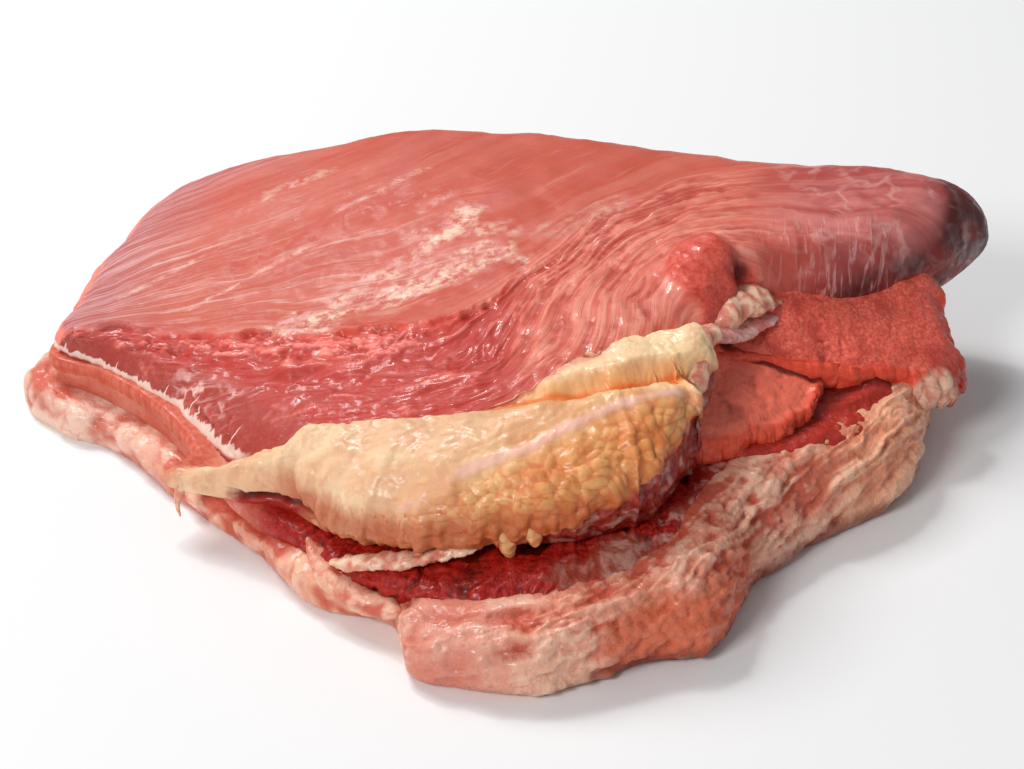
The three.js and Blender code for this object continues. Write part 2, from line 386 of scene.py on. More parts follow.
# %% Shared heights
THIN_END, THICK_END, BACK_CREST = 43, 97, 92
OVERLAP = 3
CAP_THIN, CAP_WALL = 15, 42
LEAN_UNDER = (27, 48)
TORN_EDGE = [(-211, 46), (-157, 31), (-114, 17), (-69, 1), (-30, -3), (-13, 0), (7, 34)]


def lean_top(x, y):
    """The lean top rises to the right in front and is highest along the middle of the back."""
    back = mix(36, BACK_CREST, np.sin(np.clip((x + 230) / 230, 0, 1) * np.pi / 2))
    front = mix(THIN_END, THICK_END, ease(-235, 120, x))
    return mix(front, back, ease(10, 140, y)) + 3 * ease(110, 190, x)


def lean_under(x):
    """The flat's underside rises with a smooth step from the left end to the thick end."""
    return mix(*LEAN_UNDER, ease(-130, 60, x))


def seam_under(x):
    """The seam's underside: the flat's, less the seam's thickness, which grows to the right."""
    return lean_under(x) - mix(3.5, 8, ease(-150, -60, x))


def point_under(x):
    """The point lies on the thin sheet of the cap, a little higher to the right."""
    return mix(CAP_THIN - 1, CAP_THIN + 3, ease(-60, 60, x))


def cap_top(x):
    """The cap's wall grows from a thin sheet at the left to its full height at the right."""
    return mix(CAP_THIN, CAP_WALL, ease(-140, 90, x)) + 4 * ease(-190, -225, x)


heights = (point_under(0), seam_under(0), lean_under(0), lean_top(0, 45))
print("layers at the middle, in mm:", [round(float(height), 1) for height in heights])

# %% [markdown]
# Muscle fibres sweep across the lean top: they run up to the right over the slab, bend round in
# front of the round lump and level out into the thick end. A few guide lines in plan carry two
# numbers, one across the fibres and one along them. A thin-plate surface through those numbers
# gives both everywhere, so ridges and streaks follow the meat's own grain.

# %% Grain of the lean top
GUIDES = {
    -45: [(-190, 146), (-150, 160)],
    0: [(-180, 111), (-121, 117), (-63, 136)],
    45: [(-199, 62), (-133, 80), (-71, 97), (-5, 129), (30, 150)],
    100: [(-195, 35), (-120, 29), (-59, 23), (-9, 32), (32, 67), (61, 88), (100, 112)],
    132: [(-120, -25), (-70, -30), (-18, -29), (11, 15), (46, 65), (80, 86), (130, 96), (201, 96)],
    152: [(-91, -53), (-30, -62), (8, -33), (36, 25), (59, 51), (88, 70), (144, 73), (204, 68)],
    170: [(4, -70), (28, -31), (54, 29), (78, 51), (106, 59), (132, 52), (189, 48)],
    186: [(38, -50), (46, -12), (60, 17), (74, 31), (92, 37), (120, 38)],
}
SMOOTHING = 40


def fit_grain(guides):
    """Solves for the thin-plate surfaces through the guides' across and along numbers."""
    places, values = [], []
    for across, path in guides.items():
        path = np.array(path, float)
        run = np.append(0, np.cumsum(np.hypot(*np.diff(path, axis=0).T)))
        places.append(path)
        values.append(np.stack([np.full(len(path), float(across)), path[0, 0] + run], 1))
    places, values = np.concatenate(places), np.concatenate(values)
    n = len(places)
    square = ((places[:, None] - places[None]) ** 2).sum(-1)
    bend = 0.5 * square * np.log(square + 1e-9)
    plane = np.column_stack([np.ones(n), places])
    system = np.block([[bend + SMOOTHING * np.eye(n), plane], [plane.T, np.zeros((3, 3))]])
    return places, np.linalg.solve(system, np.concatenate([values, np.zeros((3, 2))]))


GRAIN_PLACES, GRAIN_WEIGHTS = fit_grain(GUIDES)


def grain(x, y):
    """The numbers across and along the fibres at each place, in about millimetres."""
    total = GRAIN_WEIGHTS[-3] + x[..., None] * GRAIN_WEIGHTS[-2] + y[..., None] * GRAIN_WEIGHTS[-1]
    for (gx, gy), weight in zip(GRAIN_PLACES, GRAIN_WEIGHTS):
        square = (x - gx) ** 2 + (y - gy) ** 2
        total = total + (0.5 * square * np.log(square + 1e-9))[..., None] * weight
    return total[..., 0], total[..., 1]


print("guide places:", len(GRAIN_PLACES))

# %% [markdown]
# The flat is the lean slab on top. Five kinds of surface meet on it: smooth silverskin at the
# back and left, a torn strip along the front with long raw strands, arcs of ridges where the
# fibres bend, the clean face of the left cut, and the smooth rounded end with a lump beside it.
# Each kind has a weight at every point, and its own relief is added by that weight. In these sums
# the number before a noise is its height and the divisors inside it are its size, both in
# millimetres, and its last number is the seed.

# %% The flat: outline
KNOB, PIT, PIT_SHOWN = (90, 24, 84), (104, 14, 74), (103, 13, 91)


def flat_top(x, y, beyond, roll):
    """The lean top, with a shallow dip along the edge where the silverskin was torn off."""
    return lean_top(x, y) - 2.5 * ease(4, -6, distance_to(TORN_EDGE, x, y)) * ease(60, 0, x)


flat = Pillow(
    rim=[
        [-214, 40, 29, 10, 3], [-190, 27, 27, 17, 3], [-160, 0, 25, 26, 4], [-132, -42, 26, 44, 4],
        [-100, -72, 34, 42, 8], [-60, -93, 42, 36, 12], [-16, -96, 50, 34, 14], [30, -68, 60, 30, 14],
        [76, -28, 70, 24, 14], [102, 8, 72, 26, 14], [128, 24, 74, 34, 20], [156, 30, 76, 42, 24],
        [188, 46, 74, 46, 26], [210, 63, 68, 44, 28], [228.5, 96, 63, 44, 28], [203, 114, 61, 38, 26],
        [150, 126, 58, 36, 20], [70, 153, 52, 30, 16], [-20, 171, 46, 27, 14], [-110, 167, 40, 26, 12],
        [-176, 158, 32, 22, 8], [-200, 112, 29, 18, 6], [-210, 70, 29, 14, 4],
    ],
    centre=(10, 45), square=2.1,
    top=flat_top, low=lambda x, y: lean_under(x),
    u=ring(620, 0.93, 1.65, 0.86), counts=(106, 38, 10, 4),
    ragged=lambda u, x, y: (ease(-100, -170, x) * 1.6 + 0.7) * rough(u * 50, 0 * u, 0 * u, 3, 52),
)
x, y, z = flat.xyz()
flat.push(7 * swelling(x, y, z, KNOB, 20) - 9 * swelling(x, y, z, PIT, 10) + 1.1 * lumps(x, y, z, 26))
lump = ease(1.15, 0.55, np.hypot((x - 86) / 19, (y - 7) / 24) + 0.12 * rough(x / 9, y / 9, z / 9, 2, 81))
lump = lump * ease(60, 76, z)
flat.push((4.5 * lump - 6 * swelling(x, y, z, PIT_SHOWN, 8)) * ease(0, 0.3, flat.level))

# %% The flat: where each kind of surface lies
across, along = grain(x, y)
across = across + 2.5 * soft(x / 30, y / 30, 0 * x, 2)
edge = np.interp(x, *np.array(TORN_EDGE, float).T) + 4 * rough(x / 14, y / 14, 0 * x, 3, 5)
torn = ease(-1, 1.5, edge - y) * ease(14, -8, x)
swirl = ease(104, 122, across) * ease(-25, 5, x) * ease(132, 98, x) * (1 - torn)
face = ease(-98, -110, x + 0.3 * y) * ease(0.95, 0.8, flat.level)
knob = np.maximum(lump, swelling(x, y, z, (104, 12, 84), 11)) * ease(0, 0.2, flat.level)
bulb = ease(104, 150, x) * ease(84, 120, x + 0.3 * (60 - y))
wrinkled = ease(106, 118, x) * ease(188, 168, x) * ease(58, 44, y) * ease(60, 72, z)
skin = (1 - torn) * (1 - swirl) * (1 - face) * (1 - bulb)
print("points on the flat:", x.size)

# %% The flat: relief
strands = ridges(across / 5.2 + 0.4 * soft(x / 11, y / 11, 0 * x, 4), along / 34, 0 * x, 3, 3)
threads = ridges(across / 2.4, along / 30, 0 * x, 2, 12)
arcs = ridges(across / 6.5 + 0.5 * soft(x / 14, y / 14, 0 * x, 5), along / 44, 0 * x, 3, 33)
clods = rough(x / 5, y / 5, z / 5, 3, 8)
GROOVE = [(-150, 13), (-125, -10), (-102, -21), (-69, -38), (-62, -27), (-47, -27), (-24, -37), (-7, -33)]
groove = ease(8, 0, distance_to(GROOVE, x, y) + 3 * rough(x / 8, y / 8, 0 * x, 2, 51))
lip = np.exp(-((edge - y - 0.5) / 3.0) ** 2) * ease(10, -10, x) * ease(-172, -145, x)
band = ease(2, 7, edge - y) * ease(24, 15, edge - y) * ease(-20, -50, x) * ease(-178, -160, x)
relief = torn * (1 - 0.9 * face) * (2.8 * (strands - 0.6) + 0.7 * (threads - 0.6) + 0.5 * clods)
relief = relief - torn * (2.4 * groove + 1.6)
relief = relief + torn * band * (1.3 * clods + 0.9 * rough(x / 2.6, y / 2.6, z / 2.6, 2, 9) + 0.8)
calm = (1 - 0.75 * swelling(x, y, z, (97, 2, 80), 24)) * (1 - lump)
relief = relief + swirl * calm * (1.9 * (arcs - 0.6) + 0.4 * (threads - 0.6) + 0.5 * clods)
relief = relief + skin * 0.4 * rough(across / 5, along / 50, 0 * x, 3, 30)
relief = relief + skin * 0.7 * rough(x / 38, y / 38, z / 38, 2, 60)
relief = relief + skin * 0.5 * rough(x / 9, y / 9, z / 9, 3, 63)
relief = relief + face * (0.5 * rough(x / 9, y / 9, z / 9, 2, 70) + 0.3 * rough(x / 2, y / 2, z / 2, 2, 72))
folded = face * np.minimum(1, 1.6 * swelling(x, y, z, (-134, -33, 33), 19))
bent = (x - 0.5 * y + 0.6 * z) / 6.5 + 0.8 * soft(x / 10, y / 10, z / 10, 73)
relief = relief - folded * 2.2 * ease(0.62, 0.95, ridges(bent, z / 12, y / 12, 2, 71))
relief = relief + knob * 0.9 * rough(x / 5, y / 5, z / 5, 4, 80)
wrinkles = ridges(x / 6 + 0.03 * z + 0.5 * soft(x / 14, z / 14, 0 * x, 91), z / 24, 0 * x, 1, 90)
relief = relief + wrinkled * (wrinkles - 0.6)
relief = relief + 0.7 * lip * rough(x / 4, y / 4, 0 * x, 2, 55) + 0.9 * lip
relief = relief + bulb * 0.8 * rough(x / 24, y / 24, z / 24, 2, 57)
relief = relief + bulb * 0.5 * rough(x / 8, y / 8, z / 8, 3, 58)
flat.push(relief * ease(-0.7, 0.1, flat.level))
print("relief on the flat, in mm:", round(float(relief.min()), 1), "to", round(float(relief.max()), 1))

# %% The flat: streaks and patches of fat
PALE = [
    (1.0, 9, [(-100, 20), (-79, 16), (-59, 24), (-41, 30), (-21, 41), (-12, 40)]),
    (0.9, 9, [(-78, 31), (-60, 40), (-42, 53), (-26, 66), (-19, 76)]),
    (0.4, 7, [(14, 52), (32, 66), (51, 76)]),
    (0.6, 5, [(-116, 115), (-106, 120), (-90, 127)]),
    (0.9, 1.6, [(-86, 91), (-60, 103), (-41, 115)]),
    (0.7, 1.8, [(-42, 83), (-26, 96)]),
    (0.7, 1.5, [(-150, 45), (-120, 60), (-96, 72)]),
    (0.6, 1.5, [(-185, 60), (-160, 74), (-128, 88)]),
    (0.6, 6, [(-46, 66), (-20, 60), (0, 62)]),
    (0.8, 6, [(-14, 52), (0, 44), (6, 34)]),
]
uneven = 0.6 * rough(across / 5, along / 22, 0 * x, 3, 21) + 0.3 * rough(x / 4, y / 4, 0 * x, 3, 22)
pale = 0.0
for strength, width, path in PALE:
    pale = np.maximum(pale, strength * ease(1.25, 0.2, distance_to(path, x, y) / width + uneven))
# Lilac along the left edge of the top: partly the silverskin's own tint, partly a painted reflection of the
# light behind.
sheen = ease(62, 6, flat.inward) * ease(-80, -150, x) * ease(0.1, 0.7, flat.level) * ease(15, 50, y)
fibrous = ease(52, 15, distance_to([(-195, 72), (-150, 62), (-100, 50), (-60, 45)], x, y))
above = np.where(flat.level > 0, 17 * flat.level, 6 * flat.level)
cut_rim = np.stack([flat.wide, above, 0 * x], -1) * MM
fascia = np.maximum(swelling(x, y, z, (-140, -8, 42), 16), swelling(x, y, z, (-122, -20, 41), 14))
flat_piece = flat.mesh(
    "lean_flat",
    grain=np.stack([across, along, z], -1) * MM,
    torn=torn, swirl=swirl, face=face, knob=knob, bulb=bulb, pale=pale, sheen=sheen, lip=lip,
    cut_rim=cut_rim, cut_side=ease(-112, -122, x) * ease(90, 60, y), fascia=fascia, fibrous=fibrous * skin,
    # Painted glints on the wrinkles of the rounded end, and painted shade in the pit beside the lump.
    gleam=wrinkled, pit=swelling(x, y, z, PIT_SHOWN, 9),
    # The hollow mark: how deep each point lies in the relief, for painted shade in the hollows and painted
    # highlight on the crests.
    hollow=np.clip(0.5 - 0.28 * relief, 0, 1),
    # Darker on the rounded end's lower side and far end: partly its own darker tone, partly painted shade.
    dark=ease(96, 190, x) * ease(100, 62, z) + ease(192, 222, x),
    wet=np.clip(0.9 * torn * (1 - 0.8 * face) + 0.8 * swirl + 0.6 * bulb + 0.7 * knob + 0.5 * pale, 0, 1),
)

# %% [markdown]
# Between the flat and the point lies a seam of hard yellow fat. It bulges out of the front as a
# long roll of lobules, small and creamy on the left and larger on the right, with a crease where
# a second slab lies on top. Along the left cut only its thin edge shows.

# %% The seam of yellow fat
CREASE = [(-14, -80), (4, -79), (29, -75), (54, -70), (67, -67), (80, -65), (92, -60)]
STREAK = [
    (-60, -120, 54), (-38, -119, 61), (-13, -112, 74), (8, -107, 80),
    (33, -95, 86), (58, -84, 89), (71, -79, 88),
]
RIND = [(-11, -78), (4, -68), (21, -57), (38, -48)]
RAGGED_END = [(4, -128, 45), (33, -126, 56), (46, -122, 63), (61, -111, 71), (70, -97, 73), (88, -51, 78)]


def seam_top(x, y, beyond, roll):
    """Level with the lean top near the outline, then down under the flat."""
    return mix(lean_under(x) + OVERLAP, lean_top(x, y) + 2, ease(16, 0, beyond) * ease(4, 14, roll))


seam = Pillow(
    rim=[
        [-216, 41, 26.5, 2, 1], [-191, 26, 24.5, 2, 1], [-161, -2, 22.5, 2, 1], [-142, -37, 23, 4, 1],
        [-151, -57, 25, 6, 4], [-122, -69, 31, 9, 7], [-97, -80, 38, 14, 9], [-78, -104, 38, 36, 14],
        [-46, -124, 43, 46, 18], [-4, -131, 51, 58, 18], [36, -127, 58, 72, 18], [60, -114, 62, 66, 16],
        [74, -92, 66, 52, 14], [84, -70, 71, 35, 10], [89, -48, 73, 14, 8], [86, -16, 70, 8, 6],
        [104, 60, 48, 8, 4], [70, 130, 46, 8, 4], [-110, 140, 30, 6, 3], [-180, 130, 26, 3, 2],
        [-208, 72, 26, 2, 1],
    ],
    centre=(20, 10), square=2.3, top=seam_top,
    low=lambda x, y: seam_under(x) + 5 * ease(-80, -104, y) * ease(-112, -80, x) * ease(30, -10, x),
    u=ring(640, 0.98, 1.76, 0.88), counts=(18, 92, 34, 5), gather=2.2,
    ragged=lambda u, x, y: ease(-90, -60, x) * 1.5 * soft(u * 120, 0 * u, 0 * u, 41),
)
x, y, z = seam.xyz()
fold = ease(10, 0, distance_to(CREASE, x, y) + 1.2 * rough(x / 9, y / 9, 0 * x, 2, 44)) * ease(56, 68, z)
seam.push(ease(34, 50, z) * (1.4 * lumps(x, y, z, 9) - mix(2, 9, ease(-10, 45, x)) * fold))

# %% The seam: lobules
out = ease(0.5, 5, z - seam_under(x))
right = ease(-60, 60, x + 1.2 * (-100 - y)) * ease(24, 44, z)
streak_height = np.interp(x, *np.array(STREAK)[:, [0, 2]].T)
below = ease(4, -6, z - np.where(x < -60, mix(34, 54, ease(-110, -60, x)), streak_height))
lobed = below * ease(-110, -80, x) * ease(-60, -72, y)
wx, wy, wz = (v + 3.5 * rough(x / 13, y / 13, z / 13, 2, s) for v, s in ((x, 101), (y, 102), (z, 103)))
lobule, gap = domes((0.95 * wx + 0.5 * wz) / 6.5, (0.9 * wz - 0.5 * wx) / 5.5, wy / 6.5, 100)
small, _ = domes(wx / 3.6, wy / 3.6, wz / 5.2, 120)
thread = distance_to(STREAK, x, y, z) + 1.8 * rough(x / 8, y / 8, z / 8, 3, 130)
membrane = ease(4.0, 0.6, thread) * ease(-62, -30, x)
low_edge = ease(-20, -2, seam.deep) * ease(18, 6, seam.deep) * ease(-110, -90, x)
cut_off = z - np.interp(x, *np.array(RAGGED_END)[:, [0, 2]].T) + 3.5 * rough(x / 7, y / 7, z / 7, 3, 170)
ragged_end = ease(1, -2, cut_off) * ease(0, 12, x) * ease(-20, -60, y)
mouth = z - mix(29, 33, ease(-130, -85, x)) + 1.5 * rough(x / 7, y / 7, 0 * x, 3, 175)
in_front = ease(-50, -58, y)
# A narrow slit under the seam's tip: dented in the relief and painted near-black as its shade.
slit = ease(3.0, 1.0, np.abs(mouth)) * ease(-126, -112, x) * ease(-78, -92, x)
slit = slit * ease(8, 2, seam.inward) * in_front
stained = ease(1, -2, mouth) * ease(-84, -94, x) * ease(-128, -116, x)
stained = stained * ease(8, 4, seam.inward) * in_front
relief = mix(0.5 * (small - 0.6), mix(1.0, 2.1, right) * (lobule - 0.6) + 0.5 * (small - 0.6), lobed)
relief = relief + rough(x / 15, y / 15, z / 15, 3, 140)
waves = 1.3 * rough(x / 8, y / 8, z / 14, 3, 141) + 0.5 * ridges(seam.wide / 9, z / 40, 0 * x, 2, 142)
relief = relief + ease(-40, -80, x) * waves
relief = relief * (1 - 0.5 * membrane) + 0.5 * membrane
thin = ease(-112, -135, x) * ease(-62, -52, y)
relief = mix(relief, 0.3 * relief + 1.0, thin)
relief = relief + low_edge * (3.2 * ridges(seam.wide / 6, z / 30, 0 * x, 2, 150) - 3.0)
torn_relief = 1.6 * rough(x / 5, y / 5, z / 8, 4, 171) - 2.5
relief = mix(relief, torn_relief, ragged_end)
seam.push(relief * out * ease(-0.98, -0.8, seam.level) * ease(12, 2, seam.beyond) - 4.0 * slit)
cleft = lobed * ease(0.20, 0.02, gap) * mix(0.5, 1, right) + (1 - lobed) * 0.2 * (1 - small)
frost = ragged_end * ease(0.15, 0.6, rough(x / 6, y / 6, z / 6, 4, 172))
seam_piece = seam.mesh(
    "yellow_seam_fat",
    # Painted shade, deep orange, along the crease, and a painted warm glow round it.
    right=right, cleft=cleft, crease=ease(5, 0, distance_to(CREASE, x, y)) * ease(56, 68, z),
    glow=ease(12, 2, distance_to(CREASE, x, y)) * ease(50, 66, z) * ease(-20, 20, x),
    fleck=ease(30, 8, seam.deep) * lobed * ease(30, -60, x),
    lobed=lobed, ragged_end=ragged_end, frost=frost,
    slab=ease(-84, -76, y) * ease(62, 72, z) * ease(-22, -8, x),
    membrane=membrane, low_edge=low_edge,
    thin=thin, stained=stained, slit=slit,
    rind=ease(10, 2, distance_to(RIND, x, y)) * ease(-20, 0, x),
)

# %% [markdown]
# Under the rounded end, two loose flaps of cut lean lie on the point. Their cut surfaces are
# granular, their edges are ragged and brighter, and a knob of fat closes the outer corner.

# %% The two lean flaps
FLAP_NUB, FAR_AWAY = (190, 6, 31), (0, 0, -999)


def upper_flap_top(x, y, beyond=0, roll=0):
    """A plane that falls to the right and rises to the back."""
    return 60 - 0.28 * (x - 150) + 0.5 * (y - 10)


def lower_flap_top(x, y, beyond=0, roll=0):
    """A steeper plane that falls to the right and rises to the back."""
    return 60 - 0.42 * (x - 105) + 0.28 * (y + 30)


def torn_rim(seed, reach):
    """An outline that tears in and out by reach, with finer nicks."""
    return lambda u, x, y: reach * rough(u * 26, 0 * u, 0 * u, 3, seed)


def tear(flap, seed, nib=FAR_AWAY):
    """Adds the granular cut surface, the ragged lip and a nib of fat; returns where the lip and the nib are,
    and how deep the hollows lie, for painted shade.

    The height is fine noise, clods and slabs of it, less the fissures, plus beads on the lip.
    """
    x, y, z = flap.xyz()
    lip = ease(0.95, 0.5, flap.level) * ease(-0.9, -0.3, flap.level)
    nub = swelling(x, y, z, nib, 14)
    grit = rough(x / 3.2, y / 3.2, z / 3.2, 4, seed)
    clods = rough(x / 10, y / 10, z / 10, 3, seed + 5)
    beads, _ = domes(x / 5, y / 5, z / 5, seed + 9)
    fissures = ease(0.75, 0.98, ridges(x / 16, y / 16, z / 16, 2, seed + 3))
    fissures = fissures * ease(0.2, 0.7, soft(x / 24, y / 24, 0 * x, seed + 4))
    slabs = rough(x / 20, y / 20, z / 20, 2, seed + 7)
    relief = 0.35 * grit + 0.9 * clods + 1.2 * slabs - fissures
    relief = relief + lip * (1.6 * (beads - 0.5) + 2.4) + 2.2 * nub * (beads - 0.4)
    flap.push(relief)
    return lip, nub, np.clip(0.5 - 0.22 * relief, 0, 1)


upper = Pillow(
    rim=[
        [92, -14, 70, 8, 5], [118, -12, 62, 8, 5], [150, -7, 52, 8, 5], [176, 1, 43, 9, 6],
        [196, 8, 26, 10, 8], [206, 17, 28, 12, 8], [200, 38, 44, 12, 8], [196, 62, 52, 10, 8],
        [180, 82, 56, 10, 8], [130, 70, 60, 10, 6], [104, 30, 68, 10, 5],
    ],
    centre=(155, 35), square=2.6, top=upper_flap_top, low=lambda x, y: upper_flap_top(x, y) - 15,
    u=ring(520, 0.95, 1.66, 0.85), counts=(70, 22, 22, 8), ragged=torn_rim(200, 1.6),
)
x, y, z = upper.xyz()
upper.push(5 * swelling(x, y, z, FLAP_NUB, 13) + 0.8 * lumps(x, y, z, 12))
lip, nub, hollow = tear(upper, 210, FLAP_NUB)
x, y, z = upper.xyz()
purple = ease(186, 200, x) * ease(60, 30, z)
upper_piece = upper.mesh("upper_lean_flap", lip=lip, nub=nub, hollow=hollow, purple=purple)

lower = Pillow(
    rim=[
        [74, -64, 60, 8, 6], [90, -66, 49, 8, 6], [107, -51, 45, 8, 6], [125, -40, 46, 8, 6],
        [136, -23, 49, 8, 6], [130, 4, 52, 8, 6], [95, 7, 63, 8, 6], [75, -19, 69, 8, 6],
    ],
    centre=(104, -26), square=2.4, top=lower_flap_top, low=lambda x, y: lower_flap_top(x, y) - 18,
    u=ring(420, 0.95, 1.7, 0.8), counts=(56, 22, 22, 8), ragged=torn_rim(230, 2.4),
)
x, y, z = lower.xyz()
lower.push(0.8 * lumps(x, y, z, 10))
lip, nub, hollow = tear(lower, 240)
x, y, z = lower.xyz()
UPPER_FLAP_EDGE = [(95, -14), (134, -14), (150, -9)]
# Painted shadow of the upper flap's edge on the lower flap.
shaded = ease(5, 1, distance_to(UPPER_FLAP_EDGE, x, y))
# The whole lower flap is also painted lighter: painted light.
lower_piece = lower.mesh("lower_lean_flap", lip=lip, nub=nub, hollow=hollow, shaded=shaded, lit=1.0)

# %% [markdown]
# The point is the darker muscle under the seam. In front it was torn open, so short ropes of
# muscle stand upright side by side with deep clefts between them, painted near-black as shade. To
# the left it thins to a smooth band, and a grey membrane covers a patch of it in front.

# %% The dark point
SHELF = [(126, -14), (146, -10), (166, 6)]
SEAM_END = [(66, -112), (84, -96), (90, -78), (92, -60)]
UNDER_LIP = [(106, -46), (126, -38), (135, -24), (150, -8), (178, 2)]
BAND_TOP = 42


def point_top(x, y, beyond, roll):
    """Just under the seam, with a raised step under the upper flap."""
    shelf = 3 * ease(18, 13, distance_to(SHELF, x, y))
    height = np.maximum(seam_under(x) + OVERLAP, mix(23, BAND_TOP, ease(-120, 60, x)))
    return height + shelf - 2 * ease(0, 60, beyond) * ease(-60, 60, x)


point = Pillow(
    rim=[
        [-213, 40, 19, 3, 2], [-188, 24, 17, 3, 2], [-158, -5, 16, 3, 2], [-136, -42, 16, 4, 3],
        [-112, -76, 18, 8, 4], [-88, -97, 20, 14, 6], [-68, -119, 22, 16, 6], [-40, -138, 25, 20, 7],
        [-4, -149, 28, 22, 7], [26, -147, 30, 22, 7], [50, -138, 32, 20, 7], [72, -116, 34, 18, 7],
        [90, -82, 35, 16, 7], [113, -62, 36, 14, 7], [149, -43, 36, 12, 7], [169, -19, 36, 12, 7],
        [180, 22, 34, 12, 7], [190, 80, 30, 12, 7], [140, 118, 28, 12, 7], [20, 130, 26, 10, 6],
        [-110, 134, 21, 5, 3], [-184, 126, 19, 4, 2], [-206, 72, 19, 3, 2],
    ],
    centre=(30, 0), square=2.2, top=point_top, low=lambda x, y: point_under(x),
    u=ring(640, 0.98, 1.72, 0.88), counts=(46, 40, 14, 5), gather=1.5,
)
x, y, z = point.xyz()
point.push(ease(-120, -60, x) * 1.4 * lumps(x, y, z, 11))
open_front = ease(-100, -78, x) * ease(96, 60, x)
cut_right = ease(78, 100, x)
ropes = ridges(point.wide / 5.0 + 0.9 * soft(x / 8, y / 8, z / 8, 300), z / 16, 0 * x, 3, 301)
beads, _ = domes(x / 3.6, y / 3.6, z / 5.0, 310)
crevices = ease(0.25, 0.75, soft(x / 11, y / 11, z / 9, 305)) * ease(26, 36, z)
veil = swelling(x, y, z, (50, -128, 41), 13) + 0.55 * swelling(x, y, z, (28, -140, 37), 16)
veil = veil + 0.5 * swelling(x, y, z, (72, -108, 44), 12)
veil = np.clip(veil + 0.35 * rough(x / 7, y / 7, z / 7, 3, 345) * ease(0.05, 0.3, veil), 0, 1)
relief = open_front * (1 - 0.8 * veil) * (2.3 * (ropes - 0.6) + 0.8 * (beads - 0.5) - 2.4 * crevices)
frost = ease(14, 5, distance_to(SEAM_END, x, y)) * ease(0.0, 0.5, rough(x / 4, y / 4, z / 4, 4, 340))
relief = relief + (1 - open_front) * (1 - cut_right) * 0.4 * rough(point.wide / 9, z / 5, 0 * x, 3, 320)
relief = relief + cut_right * 0.6 * rough(x / 3.4, y / 3.4, z / 3.4, 4, 330)
relief = relief + cut_right * 0.9 * rough(x / 11, y / 11, z / 11, 2, 333)
point.push(relief)
point_piece = point.mesh(
    "dark_point_lean",
    band=ease(-100, -122, x), veil=veil, cut=cut_right, frost=frost,
    # Painted shade in the clefts and painted highlight on the ropes' crests.
    hollow=np.clip(0.5 - 0.22 * relief, 0, 1),
    # Painted shadow under the upper flap's lip.
    under_lip=ease(13, 3, distance_to(UNDER_LIP, x, y)),
)

# %% [markdown]
# The fat cap is the sheet that the brisket lies on, turned up round the front as a thick fold.
# Its surface is crumpled: ridges sweep up to the right round the fold, and beads of fat sit on
# them. The left end of the fold is smooth and pink, and the part on the surface is pressed flat.

# %% The fat cap
def cap_height(x, y, beyond, roll):
    """The wall round the front, falling to a thin sheet under the point."""
    return mix(cap_top(x), point_under(x) + OVERLAP, ease(0, 40, beyond))


cap = Pillow(
    rim=[
        [-229, 52, 8, 14, 4], [-213, 19, 7, 16, 4], [-186, 3, 7, 15, 4], [-148, -39, 7, 18, 4],
        [-112, -78, 8, 20, 5], [-86, -114, 9, 18, 5], [-50, -128, 10, 18, 5], [-43, -160, 10, 20, 5],
        [-19, -170, 11, 22, 5], [16, -171, 11, 24, 5], [54, -155, 12, 26, 5], [85, -145, 12, 28, 5],
        [105, -101, 12, 30, 5], [138, -68, 13, 28, 5], [173, -43, 15, 26, 5], [187, -14, 20, 24, 7],
        [197, 30, 17, 20, 6], [198, 80, 14, 16, 6], [150, 122, 11, 14, 5], [20, 136, 9, 12, 5],
        [-110, 142, 8, 10, 4], [-188, 132, 8, 10, 4],
    ],
    centre=(0, 10), square=2.3, top=cap_height, low=lambda x, y: 0 * x,
    u=ring(700, 0.97, 1.76, 0.88), counts=(30, 74, 16, 4), gather=1.6,
    ragged=lambda u, x, y: 0.6 * rough(u * 80, 0 * u, 0 * u, 3, 400),
)
x, y, z = cap.xyz()
resting = z <= 1e-6
cap.push(np.where(resting, 0, 1.6 * lumps(x, y, z, 15)))
thick = ease(-70, -20, x)
smooth_end = ease(14, -22, x) * ease(-46, -40, x) * ease(-120, -140, y)
BACK_AND_UP, BEND_AT, BEND_REACH = (0.56, 0.83), 30, 12
sweep = BACK_AND_UP[0] * y + BACK_AND_UP[1] * z
sweep = sweep - 0.15 * x - 7.8 * np.logaddexp(0, (x - BEND_AT) / BEND_REACH)
wander = 6 * soft(x / 26, y / 26, z / 26, 410) + 2.5 * soft(x / 10, y / 10, z / 10, 411)
folds = ridges((sweep + wander) / 11, x / 44, y / 44, 2, 420)
creases = ridges((sweep + 0.6 * wander) / 4.5, x / 20, y / 20, 2, 421)
beads, _ = domes(x / 4.0, y / 4.0, z / 4.0, 430)
clods = rough(x / 12, y / 12, z / 12, 3, 440)
wrinkles = rough(x / 7, y / 7, z / 3.2, 3, 450)
bumpy = ease(-20, 60, x) * ease(150, 110, x)
FOLDS = [
    [
        (-33, -151, 25), (-12, -155, 30), (20, -156, 32), (40, -149, 35),
        (57, -138, 38), (74, -128, 41), (85, -116, 40),
    ], [
        (-4, -170, 19), (20, -166, 23), (43, -157, 24), (61, -149, 28),
        (75, -141, 34), (86, -129, 35), (99, -106, 29),
    ], [
        (34, -163, 8), (53, -152, 4), (70, -150, 8), (84, -143, 21),
        (99, -115, 14), (114, -90, 7), (136, -68, 5),
    ], [
        (53, -139, 38), (61, -132, 40), (70, -119, 41), (77, -104, 42),
        (87, -84, 42), (101, -70, 42), (122, -57, 41),
    ],
    [(86, -129, 35), (95, -91, 38), (103, -74, 40), (116, -66, 38)],
    [(99, -106, 29), (116, -84, 26), (135, -68, 24), (152, -55, 26), (166, -44, 30)],
]
bend = 2.0 * rough(x / 9, y / 9, z / 9, 3, 480) + 3.0 * soft(x / 24, y / 24, z / 24, 481)
